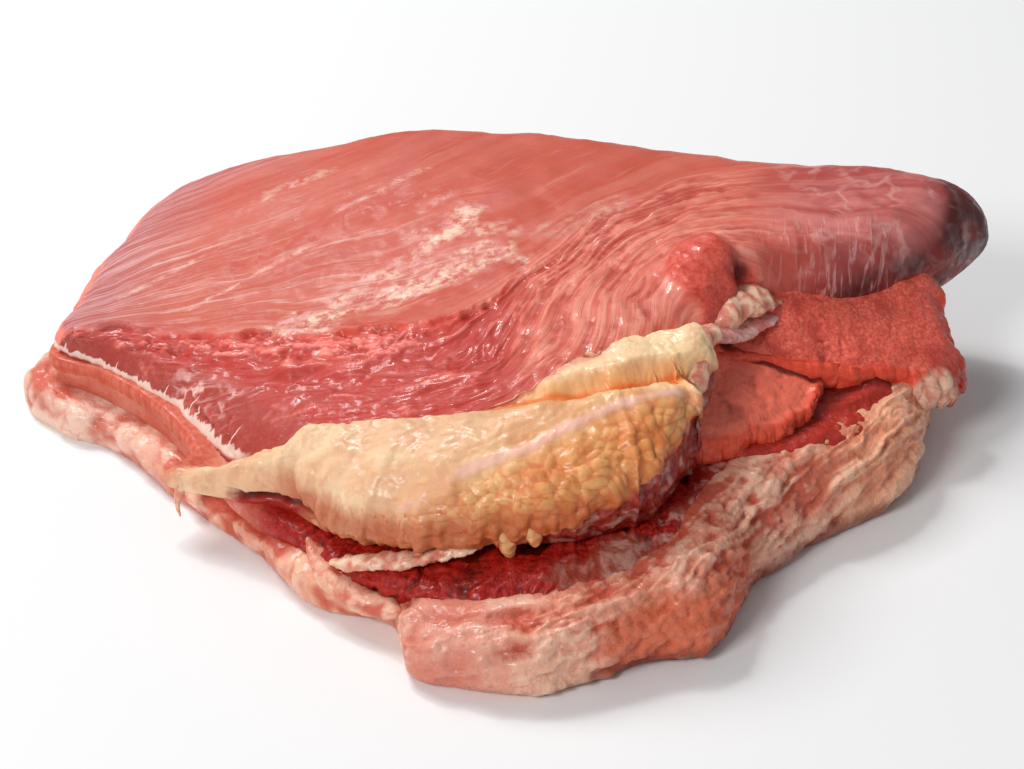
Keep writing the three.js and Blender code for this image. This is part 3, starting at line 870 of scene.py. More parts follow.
# The trenches are dug into the relief, and the material paints shade in them.
trench = sum(ease(5.0, 0, distance_to(path, x, y, z) + bend) for path in FOLDS)
trench = np.minimum(trench, 1) * thick * ease(-0.5, 0.2, soft(x / 20, y / 20, z / 20, 482))
crumpled = 3.2 * (folds - 0.58) + 2.0 * (creases - 0.55) + 1.2 * clods
crumpled = crumpled + mix(0.9, 1.5, bumpy) * (beads - 0.5)
# A dent between the left lobe and the fold, which the material paints dark as shade.
notch = swelling(x, y, z, (-41, -139, 24), 6)
relief = thick * (1 - smooth_end) * crumpled - 1.4 * trench + 0.5 - 2.5 * notch
relief = relief + (1 - thick) * ((domes(x / 8, y / 8, z / 8, 460)[0] - 0.6) + 1.4 * clods - 0.8)
relief = relief + smooth_end * (0.5 * wrinkles + clods + 1.3 * (creases - 0.5) + 0.4 * (beads - 0.5))
settled = mix(0.2, 1, ease(1.0, 0.965, cap.level)) * ease(16, 5, cap.beyond)
cap.push(np.where(resting, 0, relief * ease(0, 6, z) * settled))
cap.points[..., 2] = np.maximum(cap.points[..., 2], 0)
cap_piece = cap.mesh(
    "folded_fat_cap",
    # The hollow mark: painted shade in the hollows of the crumples and painted highlight on their crests.
    smooth=smooth_end, hollow=np.clip(0.5 - 0.2 * relief, 0, 1),
    # Painted shade low on the wall near the floor, and painted warm fill light on the far right end.
    low=ease(16, 3, z) * thick * ease(-10, 60, x), far=ease(120, 165, x),
    left=ease(-80, -120, x) * ease(15.5, 18.5, z + 2.5 * rough(x / 9, y / 9, z / 9, 3, 470)), trench=trench,
    notch=notch, white=ease(-150, -185, x) * ease(60, 30, y),
    raw=ease(-170, -150, x) * ease(-84, -104, x) * ease(9, 15, z + 6 * rough(x / 7, y / 7, z / 7, 3, 471)),
    brown=ease(20, 60, x) * ease(118, 86, x) * ease(44, 22, z),
)

# %% [markdown]
# Loose bits lie on the layers: a knot of pale fat and a lilac strip of silverskin where the seam
# runs out under the lump, a rolled cream edge in front, and drops of fat hanging over the dark
# lean. Each is a strand, an ellipse that travels along a path and shrinks to a point at both ends.

# %% Strands
def strand(name, path, relief, size, seed, rows=70, columns=20):
    """A closed strand along rows of x, y, z, half width and half height, with lumpy relief."""
    path = np.asarray(path, float)
    s = np.linspace(0, len(path) - 1, rows)
    i = np.minimum(s.astype(int), len(path) - 2)
    t = (s - i)[:, None]
    ends = np.concatenate([2 * path[:1] - path[1:2], path, 2 * path[-1:] - path[-2:-1]])
    a, b, c, d = (ends[i + k] for k in range(4))
    line = b + 0.5 * t * (c - a + t * (2 * a - 5 * b + 4 * c - d + t * (3 * (b - c) + d - a)))
    ahead = np.gradient(line[:, :3], axis=0)
    ahead = ahead / np.linalg.norm(ahead, axis=1, keepdims=True)
    aside = np.cross(ahead, (0.0, 0.0, 1.0))
    aside = aside / np.linalg.norm(aside, axis=1, keepdims=True)
    raised = np.cross(aside, ahead)
    taper = np.sqrt(1 - np.linspace(-1, 1, rows) ** 6)[:, None]
    angle = np.arange(columns) * 2 * np.pi / columns
    out = line[:, 3:4] * np.cos(angle) * taper
    up = line[:, 4:5] * np.sin(angle) * taper
    grid = line[:, None, :3] + out[..., None] * aside[:, None] + up[..., None] * raised[:, None]
    bump = relief * rough(*(grid[..., k] / size for k in range(3)), 3, seed) * taper
    middle = line[:, None, :3]
    grid = grid + (grid - middle) / np.maximum(np.hypot(out, up), 0.3)[..., None] * bump[..., None]
    # The dents are marked for painted shade.
    return closed(name, grid, hollow=0.5 - 0.3 * bump)


# %% Loose bits
strands = [
    ("pale_fat_knot", "knot", 2.8, 8, [
        (86, -12, 80, 5, 3), (92, -5, 80, 9, 5), (99, 3, 80, 11, 6), (107, 10, 78, 10, 5),
        (115, 15, 75.5, 7, 4), (123, 18, 73, 4, 2.5)]),
    ("lilac_silverskin", "silverskin", 1.2, 6, [
        (74, -42, 93, 4, 2), (81, -31, 87, 7, 2.5), (88, -21, 80, 8, 3), (95, -12, 75, 9, 3),
        (102, -5, 72, 8, 2.5), (109, 2, 71, 7, 2), (116, 8, 70, 5, 1.5), (121, 11, 69, 3, 1)]),
    ("fat_edge_beads", "knot", 1.6, 6, [
        (90, -16, 80, 5, 3), (86, -26, 84, 6, 4), (82, -38, 88, 6, 4), (79, -48, 87, 6, 5),
        (79, -54, 82, 6, 5), (81, -56, 77, 5, 4), (83, -56, 73, 3, 3)]),
    ("seam_tip_hook", "knot", 0.3, 6, [
        (-138, -55, 30, 3.6, 2.6), (-143, -58, 27, 2.8, 2.2), (-145.5, -61, 22, 1.8, 1.6),
        (-146, -62.5, 17, 1.1, 1.1), (-145, -63.5, 12, 0.5, 0.5)]),
    ("thin_fat_lip", "knot", 1.5, 4, [
        (-77, -110, 22, 2.5, 2), (-68, -115, 26, 4.5, 2.6), (-57, -119, 29.5, 5.5, 2.8),
        (-46, -122, 32.5, 5, 2.6), (-34, -124, 36, 4.5, 2.4), (-22, -124, 39.5, 4, 2),
        (-10, -123, 42, 2, 1.5)]),
    ("cream_fat_edge", "cap_fat", 1.2, 8, [
        (-87, -94, 24, 3, 2), (-82, -102, 21, 6, 3), (-76, -110, 18, 8, 4), (-69, -118, 15, 8, 4.5),
        (-60, -125, 14, 8, 4.5), (-52, -132, 15, 6, 4.5), (-46, -139, 18, 4, 3)]),
]
DRIPS = [(-1, -125.5, 43, 6, 3.4), (10, -126, 47, 3, 3)]
for number, (x, y, z, long, wide) in enumerate(DRIPS):
    hang = [
        (x - 4, y + 4, z + 9, 1.3 * wide, wide), (x - 1, y + 1, z + 3, 1.2 * wide, wide),
        (x, y - 0.5, z - 1, wide, wide), (x + 1, y - 0.5, z - long, 0.5 * wide, 0.5 * wide),
    ]
    strands.append((f"fat_drop_{number}", "drop", 0.9, 4, hang))
loose = []
for seed, (name, look, relief, size, path) in enumerate(strands, 500):
    loose.append((strand(name, path, relief, size, seed), look))
print("loose bits:", len(loose))

# %% [markdown]
# The looks come from nodes. A few short helpers keep the node trees readable: each adds one node
# and joins its inputs, so that a material reads from top to bottom as a list of layers.

# %% Node helpers
def tone(r, g, b):
    """A colour as a screen shows it, 0 to 255, as the linear colour that a shader takes."""
    c = np.array([r, g, b]) / 255
    linear = np.where(c <= 0.04045, c / 12.92, ((c + 0.055) / 1.055) ** 2.4)
    return (*linear.tolist(), 1.0)


class Nodes:
    """Adds and joins the nodes of one material or group."""

    def __init__(self, tree):
        self.tree = tree

    def add(self, kind, **settings):
        """Adds a node and sets its properties."""
        node = self.tree.nodes.new(kind)
        for key, value in settings.items():
            setattr(node, key, value)
        return node

    def put(self, value, socket):
        """Links an output to a socket, or sets the socket to a plain value."""
        if isinstance(value, bpy.types.NodeSocket):
            self.tree.links.new(value, socket)
        else:
            socket.default_value = value

    def mark(self, name, output="Fac"):
        """Reads the numbers that were stored on the piece's points."""
        return self.add("ShaderNodeAttribute", attribute_name=name).outputs[output]

    def math(self, operation, a, b, clamp=False):
        """Arithmetic on two values, kept between 0 and 1 if clamp is set."""
        node = self.add("ShaderNodeMath", operation=operation, use_clamp=clamp)
        self.put(a, node.inputs[0])
        self.put(b, node.inputs[1])
        return node.outputs[0]

    def blend(self, factor, a, b):
        """Colour a where the factor is 0 and colour b where it is 1."""
        node = self.add("ShaderNodeMix", data_type="RGBA")
        for value, socket in zip((factor, a, b), ("Factor", "A", "B")):
            self.put(value, node.inputs[socket])
        return node.outputs["Result"]

    def ramp(self, value, low, high, at_low=0.0, at_high=1.0):
        """A smooth step of a value from one limit to another."""
        node = self.add("ShaderNodeMapRange", interpolation_type="SMOOTHSTEP")
        for amount, socket in zip((value, low, high, at_low, at_high), node.inputs):
            self.put(amount, socket)
        return node.outputs[0]

    def lay(self, color, amount, share, shade):
        """Lays a shade over a colour by an amount, a mark's name or a socket, times a share."""
        amount = self.mark(amount) if isinstance(amount, str) else amount
        return self.blend(self.math("MULTIPLY", amount, share), color, tone(*shade))

    def stain(self, color, value, low, high, share, shade):
        """Lays a shade over a colour as a mark or a value steps from low to high, up to a share."""
        value = self.mark(value) if isinstance(value, str) else value
        return self.blend(self.ramp(value, low, high, 0, share), color, tone(*shade))

    def pair(self, value, low, high, first, second):
        """Two shades that change over as a value steps from low to high."""
        return self.blend(self.ramp(value, low, high), tone(*first), tone(*second))

    def divided(self, vector, x, y=None, z=None):
        """A vector divided by one size, or by one along each axis, each a number or a socket."""
        sizes = self.add("ShaderNodeCombineXYZ")
        for value, socket in zip((x, x if y is None else y, x if z is None else z), sizes.inputs):
            self.put(value, socket)
        node = self.add("ShaderNodeVectorMath", operation="DIVIDE")
        self.put(vector, node.inputs[0])
        self.put(sizes.outputs[0], node.inputs[1])
        return node.outputs[0]

    def noise(self, vector, detail=3.0, roughness=0.55, distortion=0.0):
        """Layered noise over a vector that was already divided by the noise's size."""
        node = self.add("ShaderNodeTexNoise")
        self.put(vector, node.inputs["Vector"])
        values = {"Scale": 1, "Detail": detail, "Roughness": roughness, "Distortion": distortion}
        for name, value in values.items():
            node.inputs[name].default_value = value
        return node.outputs["Fac"]

    def cell(self, vector):
        """The distance to the nearest border between cells round scattered points."""
        node = self.add("ShaderNodeTexVoronoi", feature="DISTANCE_TO_EDGE")
        self.put(vector, node.inputs["Vector"])
        node.inputs["Scale"].default_value = 1
        return node.outputs["Distance"]

    def bump(self, height, strength, distance, normal=None):
        """A normal bent by a height, on top of an earlier one if it is given."""
        node = self.add("ShaderNodeBump")
        node.inputs["Strength"].default_value = strength
        node.inputs["Distance"].default_value = distance
        self.put(height, node.inputs["Height"])
        if normal is not None:
            self.put(normal, node.inputs["Normal"])
        return node.outputs["Normal"]

    def group(self, tree, **inputs):
        """Places a node group and returns its outputs."""
        node = self.add("ShaderNodeGroup", node_tree=tree)
        for name, value in inputs.items():
            self.put(value, node.inputs[name])
        return node.outputs


def new_group(name, inputs, outputs):
    """An empty node group with named sockets, and the nodes at its two ends."""
    tree = bpy.data.node_groups.new(name, "ShaderNodeTree")
    for key, kind, value in inputs:
        socket = tree.interface.new_socket(key, in_out="INPUT", socket_type="NodeSocket" + kind)
        if value is not None:
            socket.default_value = value
    for key, kind in outputs:
        tree.interface.new_socket(key, in_out="OUTPUT", socket_type="NodeSocket" + kind)
    n = Nodes(tree)
    return tree, n, n.add("NodeGroupInput").outputs, n.add("NodeGroupOutput").inputs


# %% [markdown]
# Four effects come back at several sizes and in several materials, so each is a node group:
# streaks that follow the grain, fine grit with pale specks, thin veins, and a patchy wet film.

# %% Shared effects
streaks, n, given, out = new_group(
    "grain_streaks",
    [("Vector", "Vector", None), ("Width", "Float", 0.002), ("Length", "Float", 0.04)],
    [("Fine", "Float"), ("Broad", "Float")],
)
thin = n.divided(given["Vector"], given["Width"], given["Length"], 0.03)
n.put(n.noise(thin, 4, 0.62), out["Fine"])
wide = n.add("ShaderNodeVectorMath", operation="SCALE")
n.put(thin, wide.inputs[0])
wide.inputs["Scale"].default_value = 0.22
n.put(n.noise(wide.outputs[0], 3, 0.5, 0.5), out["Broad"])

grit, n, given, out = new_group(
    "meat_grit",
    [("Vector", "Vector", None), ("Size", "Float", 0.002)],
    [("Grit", "Float"), ("Specks", "Float"), ("Patches", "Float")],
)
small = n.divided(given["Vector"], given["Size"])
n.put(n.noise(small, 4, 0.65), out["Grit"])
n.put(n.ramp(n.noise(small, 2, 0.8, 1.5), 0.66, 0.74), out["Specks"])
large = n.add("ShaderNodeVectorMath", operation="SCALE")
n.put(small, large.inputs[0])
large.inputs["Scale"].default_value = 0.09
n.put(n.noise(large.outputs[0], 4, 0.6), out["Patches"])

veins, n, given, out = new_group(
    "thin_veins",
    [("Vector", "Vector", None), ("Size", "Float", 0.015), ("Width", "Float", 0.05)],
    [("Veins", "Float")],
)
place = n.divided(given["Vector"], given["Size"])
bent = n.add("ShaderNodeTexNoise")
n.put(place, bent.inputs["Vector"])
bent.inputs["Scale"].default_value = 1.7
shifted = n.add("ShaderNodeVectorMath", operation="ADD")
n.put(place, shifted.inputs[0])
n.put(bent.outputs["Color"], shifted.inputs[1])
line = n.ramp(n.cell(shifted.outputs[0]), given["Width"], 0.0)
n.put(n.math("MULTIPLY", line, n.ramp(n.noise(place, 2), 0.45, 0.62)), out["Veins"])

film, n, given, out = new_group(
    "wet_film",
    [("Vector", "Vector", None), ("Size", "Float", 0.01), ("Dry", "Float", 0.5), ("Wet", "Float", 0.22)],
    [("Film", "Float"), ("Roughness", "Float")],
)
place = n.divided(given["Vector"], given["Size"])
film_mask = n.ramp(n.noise(place, 4, 0.6, 0.8), 0.42, 0.62)
n.put(film_mask, out["Film"])
n.put(n.ramp(film_mask, 0, 1, given["Dry"], given["Wet"]), out["Roughness"])
print("shared effects:", [g.name for g in bpy.data.node_groups])

# %% Moist materials
def moist(name, scatter, radius, coat_roughness=0.14):
    """A Principled material with light scattered under its surface and a wet coat."""
    material = bpy.data.materials.new(name)
    material.use_nodes = True
    shader = material.node_tree.nodes["Principled BSDF"]
    shader.inputs["Coat Roughness"].default_value = coat_roughness
    shader.inputs["Specular IOR Level"].default_value = 0.28
    shader.inputs["Subsurface Weight"].default_value = scatter
    shader.inputs["Subsurface Radius"].default_value = radius
    shader.inputs["Subsurface Scale"].default_value = 0.005
    nodes = Nodes(material.node_tree)
    return material, shader, nodes, nodes.add("ShaderNodeTexCoord").outputs["Object"]


def moisten(n, shader, place, size, dry, wet, coat):
    """Joins the wet film to a shader: roughness from dry to wet, coat weight between two values."""
    patches = n.group(film, Vector=place, Size=size, Dry=dry, Wet=wet)
    n.put(patches["Roughness"], shader.inputs["Roughness"])
    n.put(n.ramp(patches["Film"], 0, 1, *coat), shader.inputs["Coat Weight"])


RED_SCATTER, FAT_SCATTER = (1.0, 0.3, 0.2), (1.0, 0.55, 0.3)

# %% [markdown]
# The flat's material is a stack. The silverskin is salmon with fine pale streaks, and its left
# edge has a lilac tint that is partly its own and partly a painted reflection. The torn strip and
# the arcs get painted shade, deep red, in their hollows and painted highlight on their crests. The
# rounded end is purplish with faint veins. It is darker on its lower side and far end, partly in its
# own tone and partly as painted shade, with painted glints on its wrinkles and painted shade in the
# pit beside the lump. Mottled cream fat lies over all of it in a few streaks.

# %% Silverskin and lean of the flat
material, shader, n, place = moist("silverskin_and_lean", 0.1, RED_SCATTER)
fibre = n.mark("grain", "Vector")
fine, broad = n.group(streaks, Vector=fibre, Width=0.0022, Length=0.045)
hair = n.group(streaks, Vector=fibre, Width=0.0008, Length=0.018)["Fine"]
speck = n.group(grit, Vector=place, Size=0.0018)
hollow = n.mark("hollow")
color = n.pair(broad, 0.35, 0.65, (202, 88, 68), (210, 108, 90))
color = n.stain(color, speck["Patches"], 0.45, 0.7, 0.5, (200, 98, 88))
color = n.stain(color, fine, 0.56, 0.74, 0.45, (224, 144, 126))
color = n.stain(color, hair, 0.6, 0.75, 0.3, (230, 160, 144))
color = n.stain(color, hair, 0.42, 0.28, 0.3, (184, 62, 46))
color = n.lay(color, speck["Specks"], 0.25, (236, 180, 160))
whitish = n.math("MULTIPLY", n.mark("fibrous"), n.ramp(fine, 0.5, 0.66, 0, 0.8))
color = n.blend(n.math("MULTIPLY", whitish, n.ramp(broad, 0.35, 0.6)), color, tone(232, 186, 172))
# Lilac along the left edge: partly the silverskin's tint, partly a painted reflection.
lilac = n.pair(fine, 0.4, 0.62, (180, 96, 94), (212, 152, 154))
color = n.blend(n.math("MULTIPLY", n.mark("sheen"), 0.85), color, lilac)

# %% Arcs, torn strip, cut face and rounded end
ridge = n.pair(fine, 0.38, 0.66, (220, 108, 90), (240, 152, 132))
# Painted shade in the hollows of the arcs and painted highlight on their crests.
ridge = n.stain(ridge, hollow, 0.55, 0.9, 0.7, (178, 46, 34))
ridge = n.stain(ridge, hollow, 0.42, 0.2, 0.5, (240, 160, 140))
color = n.blend(n.mark("swirl"), color, ridge)
raw = n.pair(hair, 0.38, 0.64, (229, 96, 82), (248, 150, 138))
# Painted shade in the hollows of the torn strip and painted highlight on its crests.
raw = n.stain(raw, hollow, 0.62, 0.98, 0.8, (180, 44, 34))
raw = n.stain(raw, hollow, 0.42, 0.15, 0.5, (234, 116, 100))
raw = n.stain(raw, fine, 0.6, 0.74, 0.4, (238, 150, 136))
color = n.blend(n.mark("torn"), color, raw)
blotchy = n.math("MULTIPLY", n.mark("lip"), n.ramp(speck["Patches"], 0.35, 0.6, 0, 0.8))
color = n.blend(blotchy, color, tone(208, 66, 48))
cut = n.pair(speck["Grit"], 0.3, 0.7, (236, 112, 96), (250, 150, 132))
cut = n.stain(cut, speck["Patches"], 0.5, 0.7, 0.45, (220, 86, 74))
# Painted shade in the hollows of the cut face.
cut = n.stain(cut, hollow, 0.62, 0.95, 0.8, (150, 34, 26))
cut = n.lay(cut, speck["Specks"], 0.5, (246, 188, 170))
web = n.group(veins, Vector=place, Size=0.012, Width=0.16)["Veins"]
web = n.math("MULTIPLY", n.math("ADD", web, n.ramp(hair, 0.5, 0.72, 0, 0.6), True), n.mark("fascia"))
cut = n.lay(cut, web, 0.95, (248, 196, 188))
color = n.blend(n.mark("face"), color, cut)
vein = n.group(veins, Vector=place, Size=0.021, Width=0.11)["Veins"]
end = n.pair(broad, 0.35, 0.65, (178, 76, 70), (214, 126, 120))
end = n.stain(end, speck["Patches"], 0.48, 0.7, 0.6, (168, 56, 46))
end = n.stain(end, fine, 0.6, 0.78, 0.35, (224, 156, 150))
# The rounded end's lower side and far end: partly darker meat, partly painted shade. Its veins fade there.
dusky = n.pair(speck["Patches"], 0.4, 0.65, (66, 3, 3), (122, 26, 20))
end = n.blend(n.ramp(n.mark("dark"), 0.0, 0.7, 0, 0.94), end, dusky)
end = n.blend(n.math("MULTIPLY", vein, n.ramp(n.mark("dark"), 0.2, 0.9, 0.45, 0.1)), end, tone(228, 172, 164))
# Painted glints: pinkish white strokes on the wrinkles of the rounded end, also used as a bump.
strokes = n.noise(n.divided(place, 0.0024, 0.016, 0.016), 3, 0.6, 0.5)
strokes = n.math("MULTIPLY", n.mark("gleam"), n.ramp(strokes, 0.5, 0.68, 0, 0.7))
end = n.blend(strokes, end, tone(222, 160, 158))
color = n.blend(n.mark("bulb"), color, end)
bright = n.pair(speck["Grit"], 0.35, 0.65, (202, 56, 42), (224, 94, 76))
color = n.blend(n.ramp(n.mark("knob"), 0.2, 0.7, 0, 0.9), color, bright)
# Painted shade in the pit to the right of the lump.
color = n.stain(color, "pit", 0.25, 0.8, 0.95, (110, 12, 8))

# %% [markdown]
# Two finishes lie over the stack. Mottled cream fat covers the pale patches, and a white line with
# fine spikes runs along the foot of the cut, where the seam's edge is stuck to the lean. The line
# is drawn from two numbers stored on the points: how far along the rim and how far above it.

# %% Fat on the flat, gloss and bump
mottle = n.noise(n.divided(place, 0.008), 4, 0.65, 0.6)
cream = n.pair(mottle, 0.42, 0.62, (230, 160, 152), (246, 210, 182))
spots = n.ramp(n.noise(n.divided(place, 0.005), 4, 0.65), 0.36, 0.6)
spotty = n.math("MULTIPLY", n.mark("pale"), spots, True)
color = n.blend(spotty, color, cream)
LINE_FOOT, LINE_TOP, LINE_WAVE, SOFT_EDGE = (0.003, 0.0045), (0.0056, 0.0078), 0.006, 0.0004
SPIKE_WIDTH, SPIKE_REACH = 0.0026, 0.011
rim = n.add("ShaderNodeSeparateXYZ")
n.put(n.mark("cut_rim", "Vector"), rim.inputs[0])
run, above = rim.outputs[0], rim.outputs[1]
waves = []
for size in (SPIKE_WIDTH, LINE_WAVE):
    along_rim = n.add("ShaderNodeCombineXYZ")
    n.put(n.math("DIVIDE", run, size), along_rim.inputs[0])
    waves.append(along_rim.outputs[0])
spikes = n.ramp(n.noise(waves[0], 1, 0.5), 0.6, 0.78, 0, SPIKE_REACH)
reach = n.math("ADD", spikes, n.ramp(n.noise(waves[1], 3, 0.6), 0.35, 0.7, *LINE_TOP))
line = n.ramp(n.math("SUBTRACT", above, reach), SOFT_EDGE, -SOFT_EDGE)
line = n.math("MULTIPLY", line, n.ramp(above, *LINE_FOOT))
color = n.blend(n.math("MULTIPLY", line, n.mark("cut_side")), color, tone(244, 212, 198))
n.put(color, shader.inputs["Base Color"])
wet = n.group(film, Vector=fibre, Size=0.008, Dry=0.52, Wet=0.4)
n.put(wet["Roughness"], shader.inputs["Roughness"])
n.put(n.math("MULTIPLY", wet["Film"], n.ramp(n.mark("wet"), 0, 1, 0.06, 0.6)), shader.inputs["Coat Weight"])
streaky = n.math("MULTIPLY", fine, n.ramp(n.mark("wet"), 0, 1, 0.7, 1.7))
normal = n.bump(n.math("MULTIPLY", streaky, n.ramp(n.mark("bulb"), 0, 1, 1.0, 0.2)), 0.6, 0.0008)
normal = n.bump(hair, 0.45, 0.0005, normal)
normal = n.bump(strokes, 0.5, 0.0008, normal)
normal = n.bump(speck["Grit"], 0.25, 0.0004, normal)
n.put(normal, shader.inputs["Normal"])
flat_piece.data.materials.append(material)
print(material.name, "nodes:", len(n.tree.nodes))

# %% [markdown]
# Hard fat is cream where it is thick and smooth, turns yellow where the lobules are large and
# reddish orange in the clefts between them.

# %% Yellow fat
material, shader, n, place = moist("yellow_fat", 0.18, FAT_SCATTER, 0.2)
speck = n.group(grit, Vector=place, Size=0.0022)
vein = n.group(veins, Vector=place, Size=0.009, Width=0.12)["Veins"]
cream = n.pair(speck["Patches"], 0.38, 0.62, (240, 204, 164), (232, 182, 142))
yellow = n.pair(speck["Patches"], 0.38, 0.62, (234, 180, 122), (222, 152, 96))
color = n.blend(n.mark("right"), cream, yellow)
rich = n.pair(speck["Patches"], 0.4, 0.6, (238, 172, 104), (228, 144, 76))
color = n.blend(n.math("MULTIPLY", n.mark("lobed"), n.ramp(n.mark("right"), 0.1, 0.9, 0.1, 0.7)), color, rich)
color = n.lay(color, "slab", 0.8, (254, 218, 172))
# Painted warm glow round the crease.
color = n.lay(color, "glow", 0.65, (246, 172, 92))
color = n.stain(color, "cleft", 0.05, 0.9, 0.55, (214, 104, 54))
dash = n.ramp(n.noise(n.divided(place, 0.0022, 0.0022, 0.008), 3, 0.6, 0.6), 0.55, 0.7)
color = n.blend(n.math("MULTIPLY", dash, n.ramp(n.mark("fleck"), 0, 1, 0, 0.75)), color, tone(208, 92, 52))
color = n.lay(color, vein, 0.25, (214, 110, 70))
# Painted shade along the crease.
color = n.stain(color, "crease", 0.1, 0.9, 0.85, (228, 112, 38))
color = n.stain(color, "rind", 0, 1, 0.7, (228, 142, 124))
color = n.lay(color, "membrane", 0.75, (244, 190, 176))
color = n.stain(color, "low_edge", 0.1, 1.0, 0.75, (182, 80, 38))
upright = n.noise(n.divided(place, 0.003, 0.003, 0.03), 3, 0.6)
band = n.pair(upright, 0.35, 0.68, (200, 84, 62), (218, 114, 88))
color = n.blend(n.mark("thin"), color, band)
raw = n.pair(speck["Grit"], 0.32, 0.68, (118, 22, 14), (176, 52, 38))
color = n.blend(n.mark("stained"), color, tone(170, 44, 34))
color = n.blend(n.mark("ragged_end"), color, raw)
color = n.lay(color, "frost", 0.6, (226, 176, 160))
# Painted shade in the slit.
color = n.blend(n.mark("slit"), color, tone(84, 12, 8))
n.put(color, shader.inputs["Base Color"])
moisten(n, shader, place, 0.007, 0.5, 0.32, (0.05, 0.35))
normal = n.bump(n.noise(n.divided(place, 0.0035), 3, 0.5), 0.5, 0.0009)
normal = n.bump(speck["Grit"], 0.3, 0.0004, normal)
n.put(normal, shader.inputs["Normal"])
seam_piece.data.materials.append(material)
print(material.name, "nodes:", len(n.tree.nodes))

# %% [markdown]
# The loose bits share one plain recipe with different colours: a granular pair of tones, a red
# tint painted as shade in the hollows and a thin wet coat.

# %% Fat drops, pale knots and silverskin
looks = {}
for look, dark, light in [
    ("drop", (212, 126, 76), (230, 176, 120)),
    ("knot", (226, 140, 116), (244, 206, 176)),
    ("silverskin", (222, 140, 128), (244, 206, 200)),
]:
    material, shader, n, place = moist(look + "_fat", 0.15, FAT_SCATTER)
    speck = n.group(grit, Vector=place, Size=0.002)
    cloudy = n.noise(n.divided(place, 0.006), 4, 0.6, 0.4)
    color = n.pair(cloudy, 0.38, 0.62, dark, light)
    color = n.stain(color, speck["Grit"], 0.5, 0.75, 0.3, dark)
    # Painted shade in the dents.
    color = n.stain(color, "hollow", 0.5, 0.9, 0.7, (206, 84, 62))
    n.put(color, shader.inputs["Base Color"])
    moisten(n, shader, place, 0.005, 0.5, 0.26, (0.05, 0.4))
    n.put(n.bump(speck["Grit"], 0.5, 0.0006), shader.inputs["Normal"])
    looks[look] = material
print("looks of the loose bits:", sorted(looks))

# %% [markdown]
# Freshly cut lean is granular: short ends of fibres stand in the surface, each catching a speck
# of light, and pale bits of fat lie between them. The pale specks in its colour are partly that fat
# and partly painted glints.

# %% Cut lean of the flaps
material, shader, n, place = moist("cut_lean", 0.1, RED_SCATTER, 0.2)
speck = n.group(grit, Vector=place, Size=0.0015)
color = n.pair(speck["Grit"], 0.32, 0.68, (218, 74, 58), (244, 122, 102))
wide_patches = n.noise(n.divided(place, 0.014), 3, 0.6)
color = n.stain(color, wide_patches, 0.45, 0.65, 0.5, (184, 50, 42))
# Painted light: the lower flap, which lies in shade, is painted lighter.
color = n.lay(color, "lit", 0.75, (255, 124, 98))
# Painted shade in the fissures and hollows.
color = n.stain(color, "hollow", 0.6, 0.95, 0.8, (138, 22, 16))
color = n.stain(color, "lip", 0.2, 0.9, 0.75, (232, 74, 44))
# Painted shadow under the upper flap's edge.
color = n.stain(color, "shaded", 0.2, 1.0, 0.9, (96, 12, 8))
# Pale specks: partly bits of fat, partly painted glints.
color = n.lay(color, speck["Specks"], 0.6, (232, 168, 142))
cloudy = n.noise(n.divided(place, 0.006), 4, 0.6, 0.4)
nub_color = n.pair(cloudy, 0.38, 0.62, (220, 136, 112), (240, 196, 168))
color = n.lay(color, "purple", 0.7, (140, 40, 44))
color = n.blend(n.ramp(n.mark("nub"), 0.35, 0.55), color, nub_color)
n.put(color, shader.inputs["Base Color"])
moisten(n, shader, place, 0.005, 0.5, 0.3, (0.05, 0.4))
n.put(n.bump(speck["Grit"], 0.55, 0.0007), shader.inputs["Normal"])
for flap in (upper_piece, lower_piece):
    flap.data.materials.append(material)
print(material.name, "nodes:", len(n.tree.nodes))

# %% Dark lean of the point
material, shader, n, place = moist("dark_lean", 0.08, RED_SCATTER)
speck = n.group(grit, Vector=place, Size=0.0022)
color = n.pair(speck["Grit"], 0.32, 0.68, (138, 12, 7), (184, 34, 22))
# Painted shade, near-black in the clefts, and painted highlight on the crests.
color = n.stain(color, "hollow", 0.6, 0.95, 0.9, (76, 5, 3))
color = n.stain(color, "hollow", 0.4, 0.1, 0.4, (200, 58, 42))
color = n.stain(color, "cut", 0, 1, 0.6, (190, 60, 46))
# Painted shadow under the flap's lip.
color = n.stain(color, "under_lip", 0.3, 1.0, 0.85, (96, 12, 8))
color = n.lay(color, "frost", 0.6, (226, 176, 160))
color = n.lay(color, speck["Specks"], 0.5, (220, 150, 130))
band = n.pair(speck["Patches"], 0.4, 0.65, (206, 100, 80), (220, 138, 116))
color = n.blend(n.mark("band"), color, band)
cloudy = n.noise(n.divided(place, 0.011), 4, 0.6, 0.5)
grey = n.pair(cloudy, 0.42, 0.62, (150, 66, 44), (202, 150, 134))
color = n.blend(n.ramp(n.mark("veil"), 0.15, 0.9, 0, 0.85), color, grey)
n.put(color, shader.inputs["Base Color"])
moisten(n, shader, place, 0.006, 0.48, 0.25, (0.05, 0.3))
normal = n.bump(n.noise(n.divided(place, 0.003, 0.003, 0.007), 3, 0.6), 0.6, 0.0012)
normal = n.bump(speck["Grit"], 0.5, 0.0006, normal)
n.put(normal, shader.inputs["Normal"])
point_piece.data.materials.append(material)
print(material.name, "nodes:", len(n.tree.nodes))

# %% Fat of the cap
material, shader, n, place = moist("cap_fat", 0.14, FAT_SCATTER)
speck = n.group(grit, Vector=place, Size=0.002)
vein = n.group(veins, Vector=place, Size=0.011, Width=0.1)["Veins"]
hollow = n.mark("hollow")
color = n.pair(speck["Patches"], 0.35, 0.65, (226, 142, 114), (242, 190, 162))
# Painted shade in the trenches.
color = n.lay(color, "trench", 0.5, (190, 74, 54))
color = n.lay(color, "white", 0.8, (244, 208, 188))
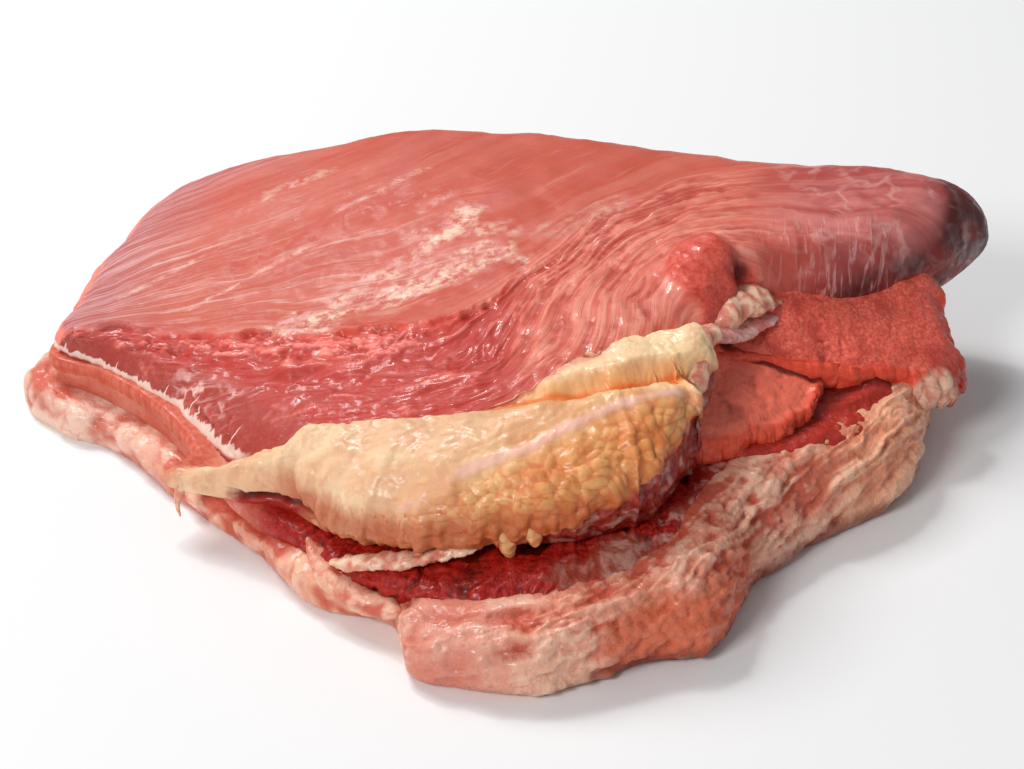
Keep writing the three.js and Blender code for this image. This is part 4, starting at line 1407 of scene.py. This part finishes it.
# Painted shade, red, in the hollows and painted highlight on the crests.
color = n.stain(color, hollow, 0.48, 0.78, 0.85, (200, 76, 50))
color = n.stain(color, hollow, 0.42, 0.15, 0.5, (246, 204, 176))
# Painted warm fill light on the far right end.
color = n.lay(color, "far", 0.5, (255, 186, 142))
color = n.lay(color, vein, 0.4, (210, 84, 62))
color = n.lay(color, speck["Specks"], 0.4, (246, 214, 192))
pink = n.pair(speck["Patches"], 0.4, 0.65, (216, 126, 106), (228, 156, 136))
color = n.blend(n.math("MULTIPLY", n.mark("smooth"), 0.7), color, pink)
color = n.stain(color, "brown", 0.05, 0.8, 0.8, (214, 84, 38))
# Painted shade low on the wall, near the floor.
color = n.stain(color, "low", 0.1, 1.0, 0.7, (132, 48, 28))
color = n.lay(color, "left", 0.9, (214, 100, 76))
color = n.stain(color, "raw", 0.2, 0.9, 0.8, (204, 78, 60))
# Painted shade in the notch.
color = n.stain(color, "notch", 0.3, 0.9, 0.6, (120, 40, 36))
n.put(color, shader.inputs["Base Color"])
moisten(n, shader, place, 0.007, 0.5, 0.26, (0.08, 0.5))
normal = n.bump(n.noise(n.divided(place, 0.003), 4, 0.6), 0.8, 0.0014)
normal = n.bump(speck["Grit"], 0.4, 0.0005, normal)
n.put(normal, shader.inputs["Normal"])
cap_piece.data.materials.append(material)
print(material.name, "nodes:", len(n.tree.nodes))
looks["cap_fat"] = material
for piece, look in loose:
    piece.data.materials.append(looks[look])

# %% [markdown]
# Each piece now takes the place of its plain solid: it rides on the one body and hides the solid
# it stands for.

# %% Riding and replacing
for piece, node, slot in [
    (flat_piece, "flat_lean", "flat_lean"),
    (seam_piece, "seam_fat", "seam_fat"),
    (upper_piece, "upper_flap_lean", "flap_lean"),
    (lower_piece, "lower_flap_lean", "flap_lean"),
    (point_piece, "point_lean", "point_lean"),
    (cap_piece, "fat_cap", "cap_fat"),
]:
    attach(piece, "root")
    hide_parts(node)
for piece, look in loose:
    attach(piece, "root")
print("pieces on root:", 6 + len(loose))
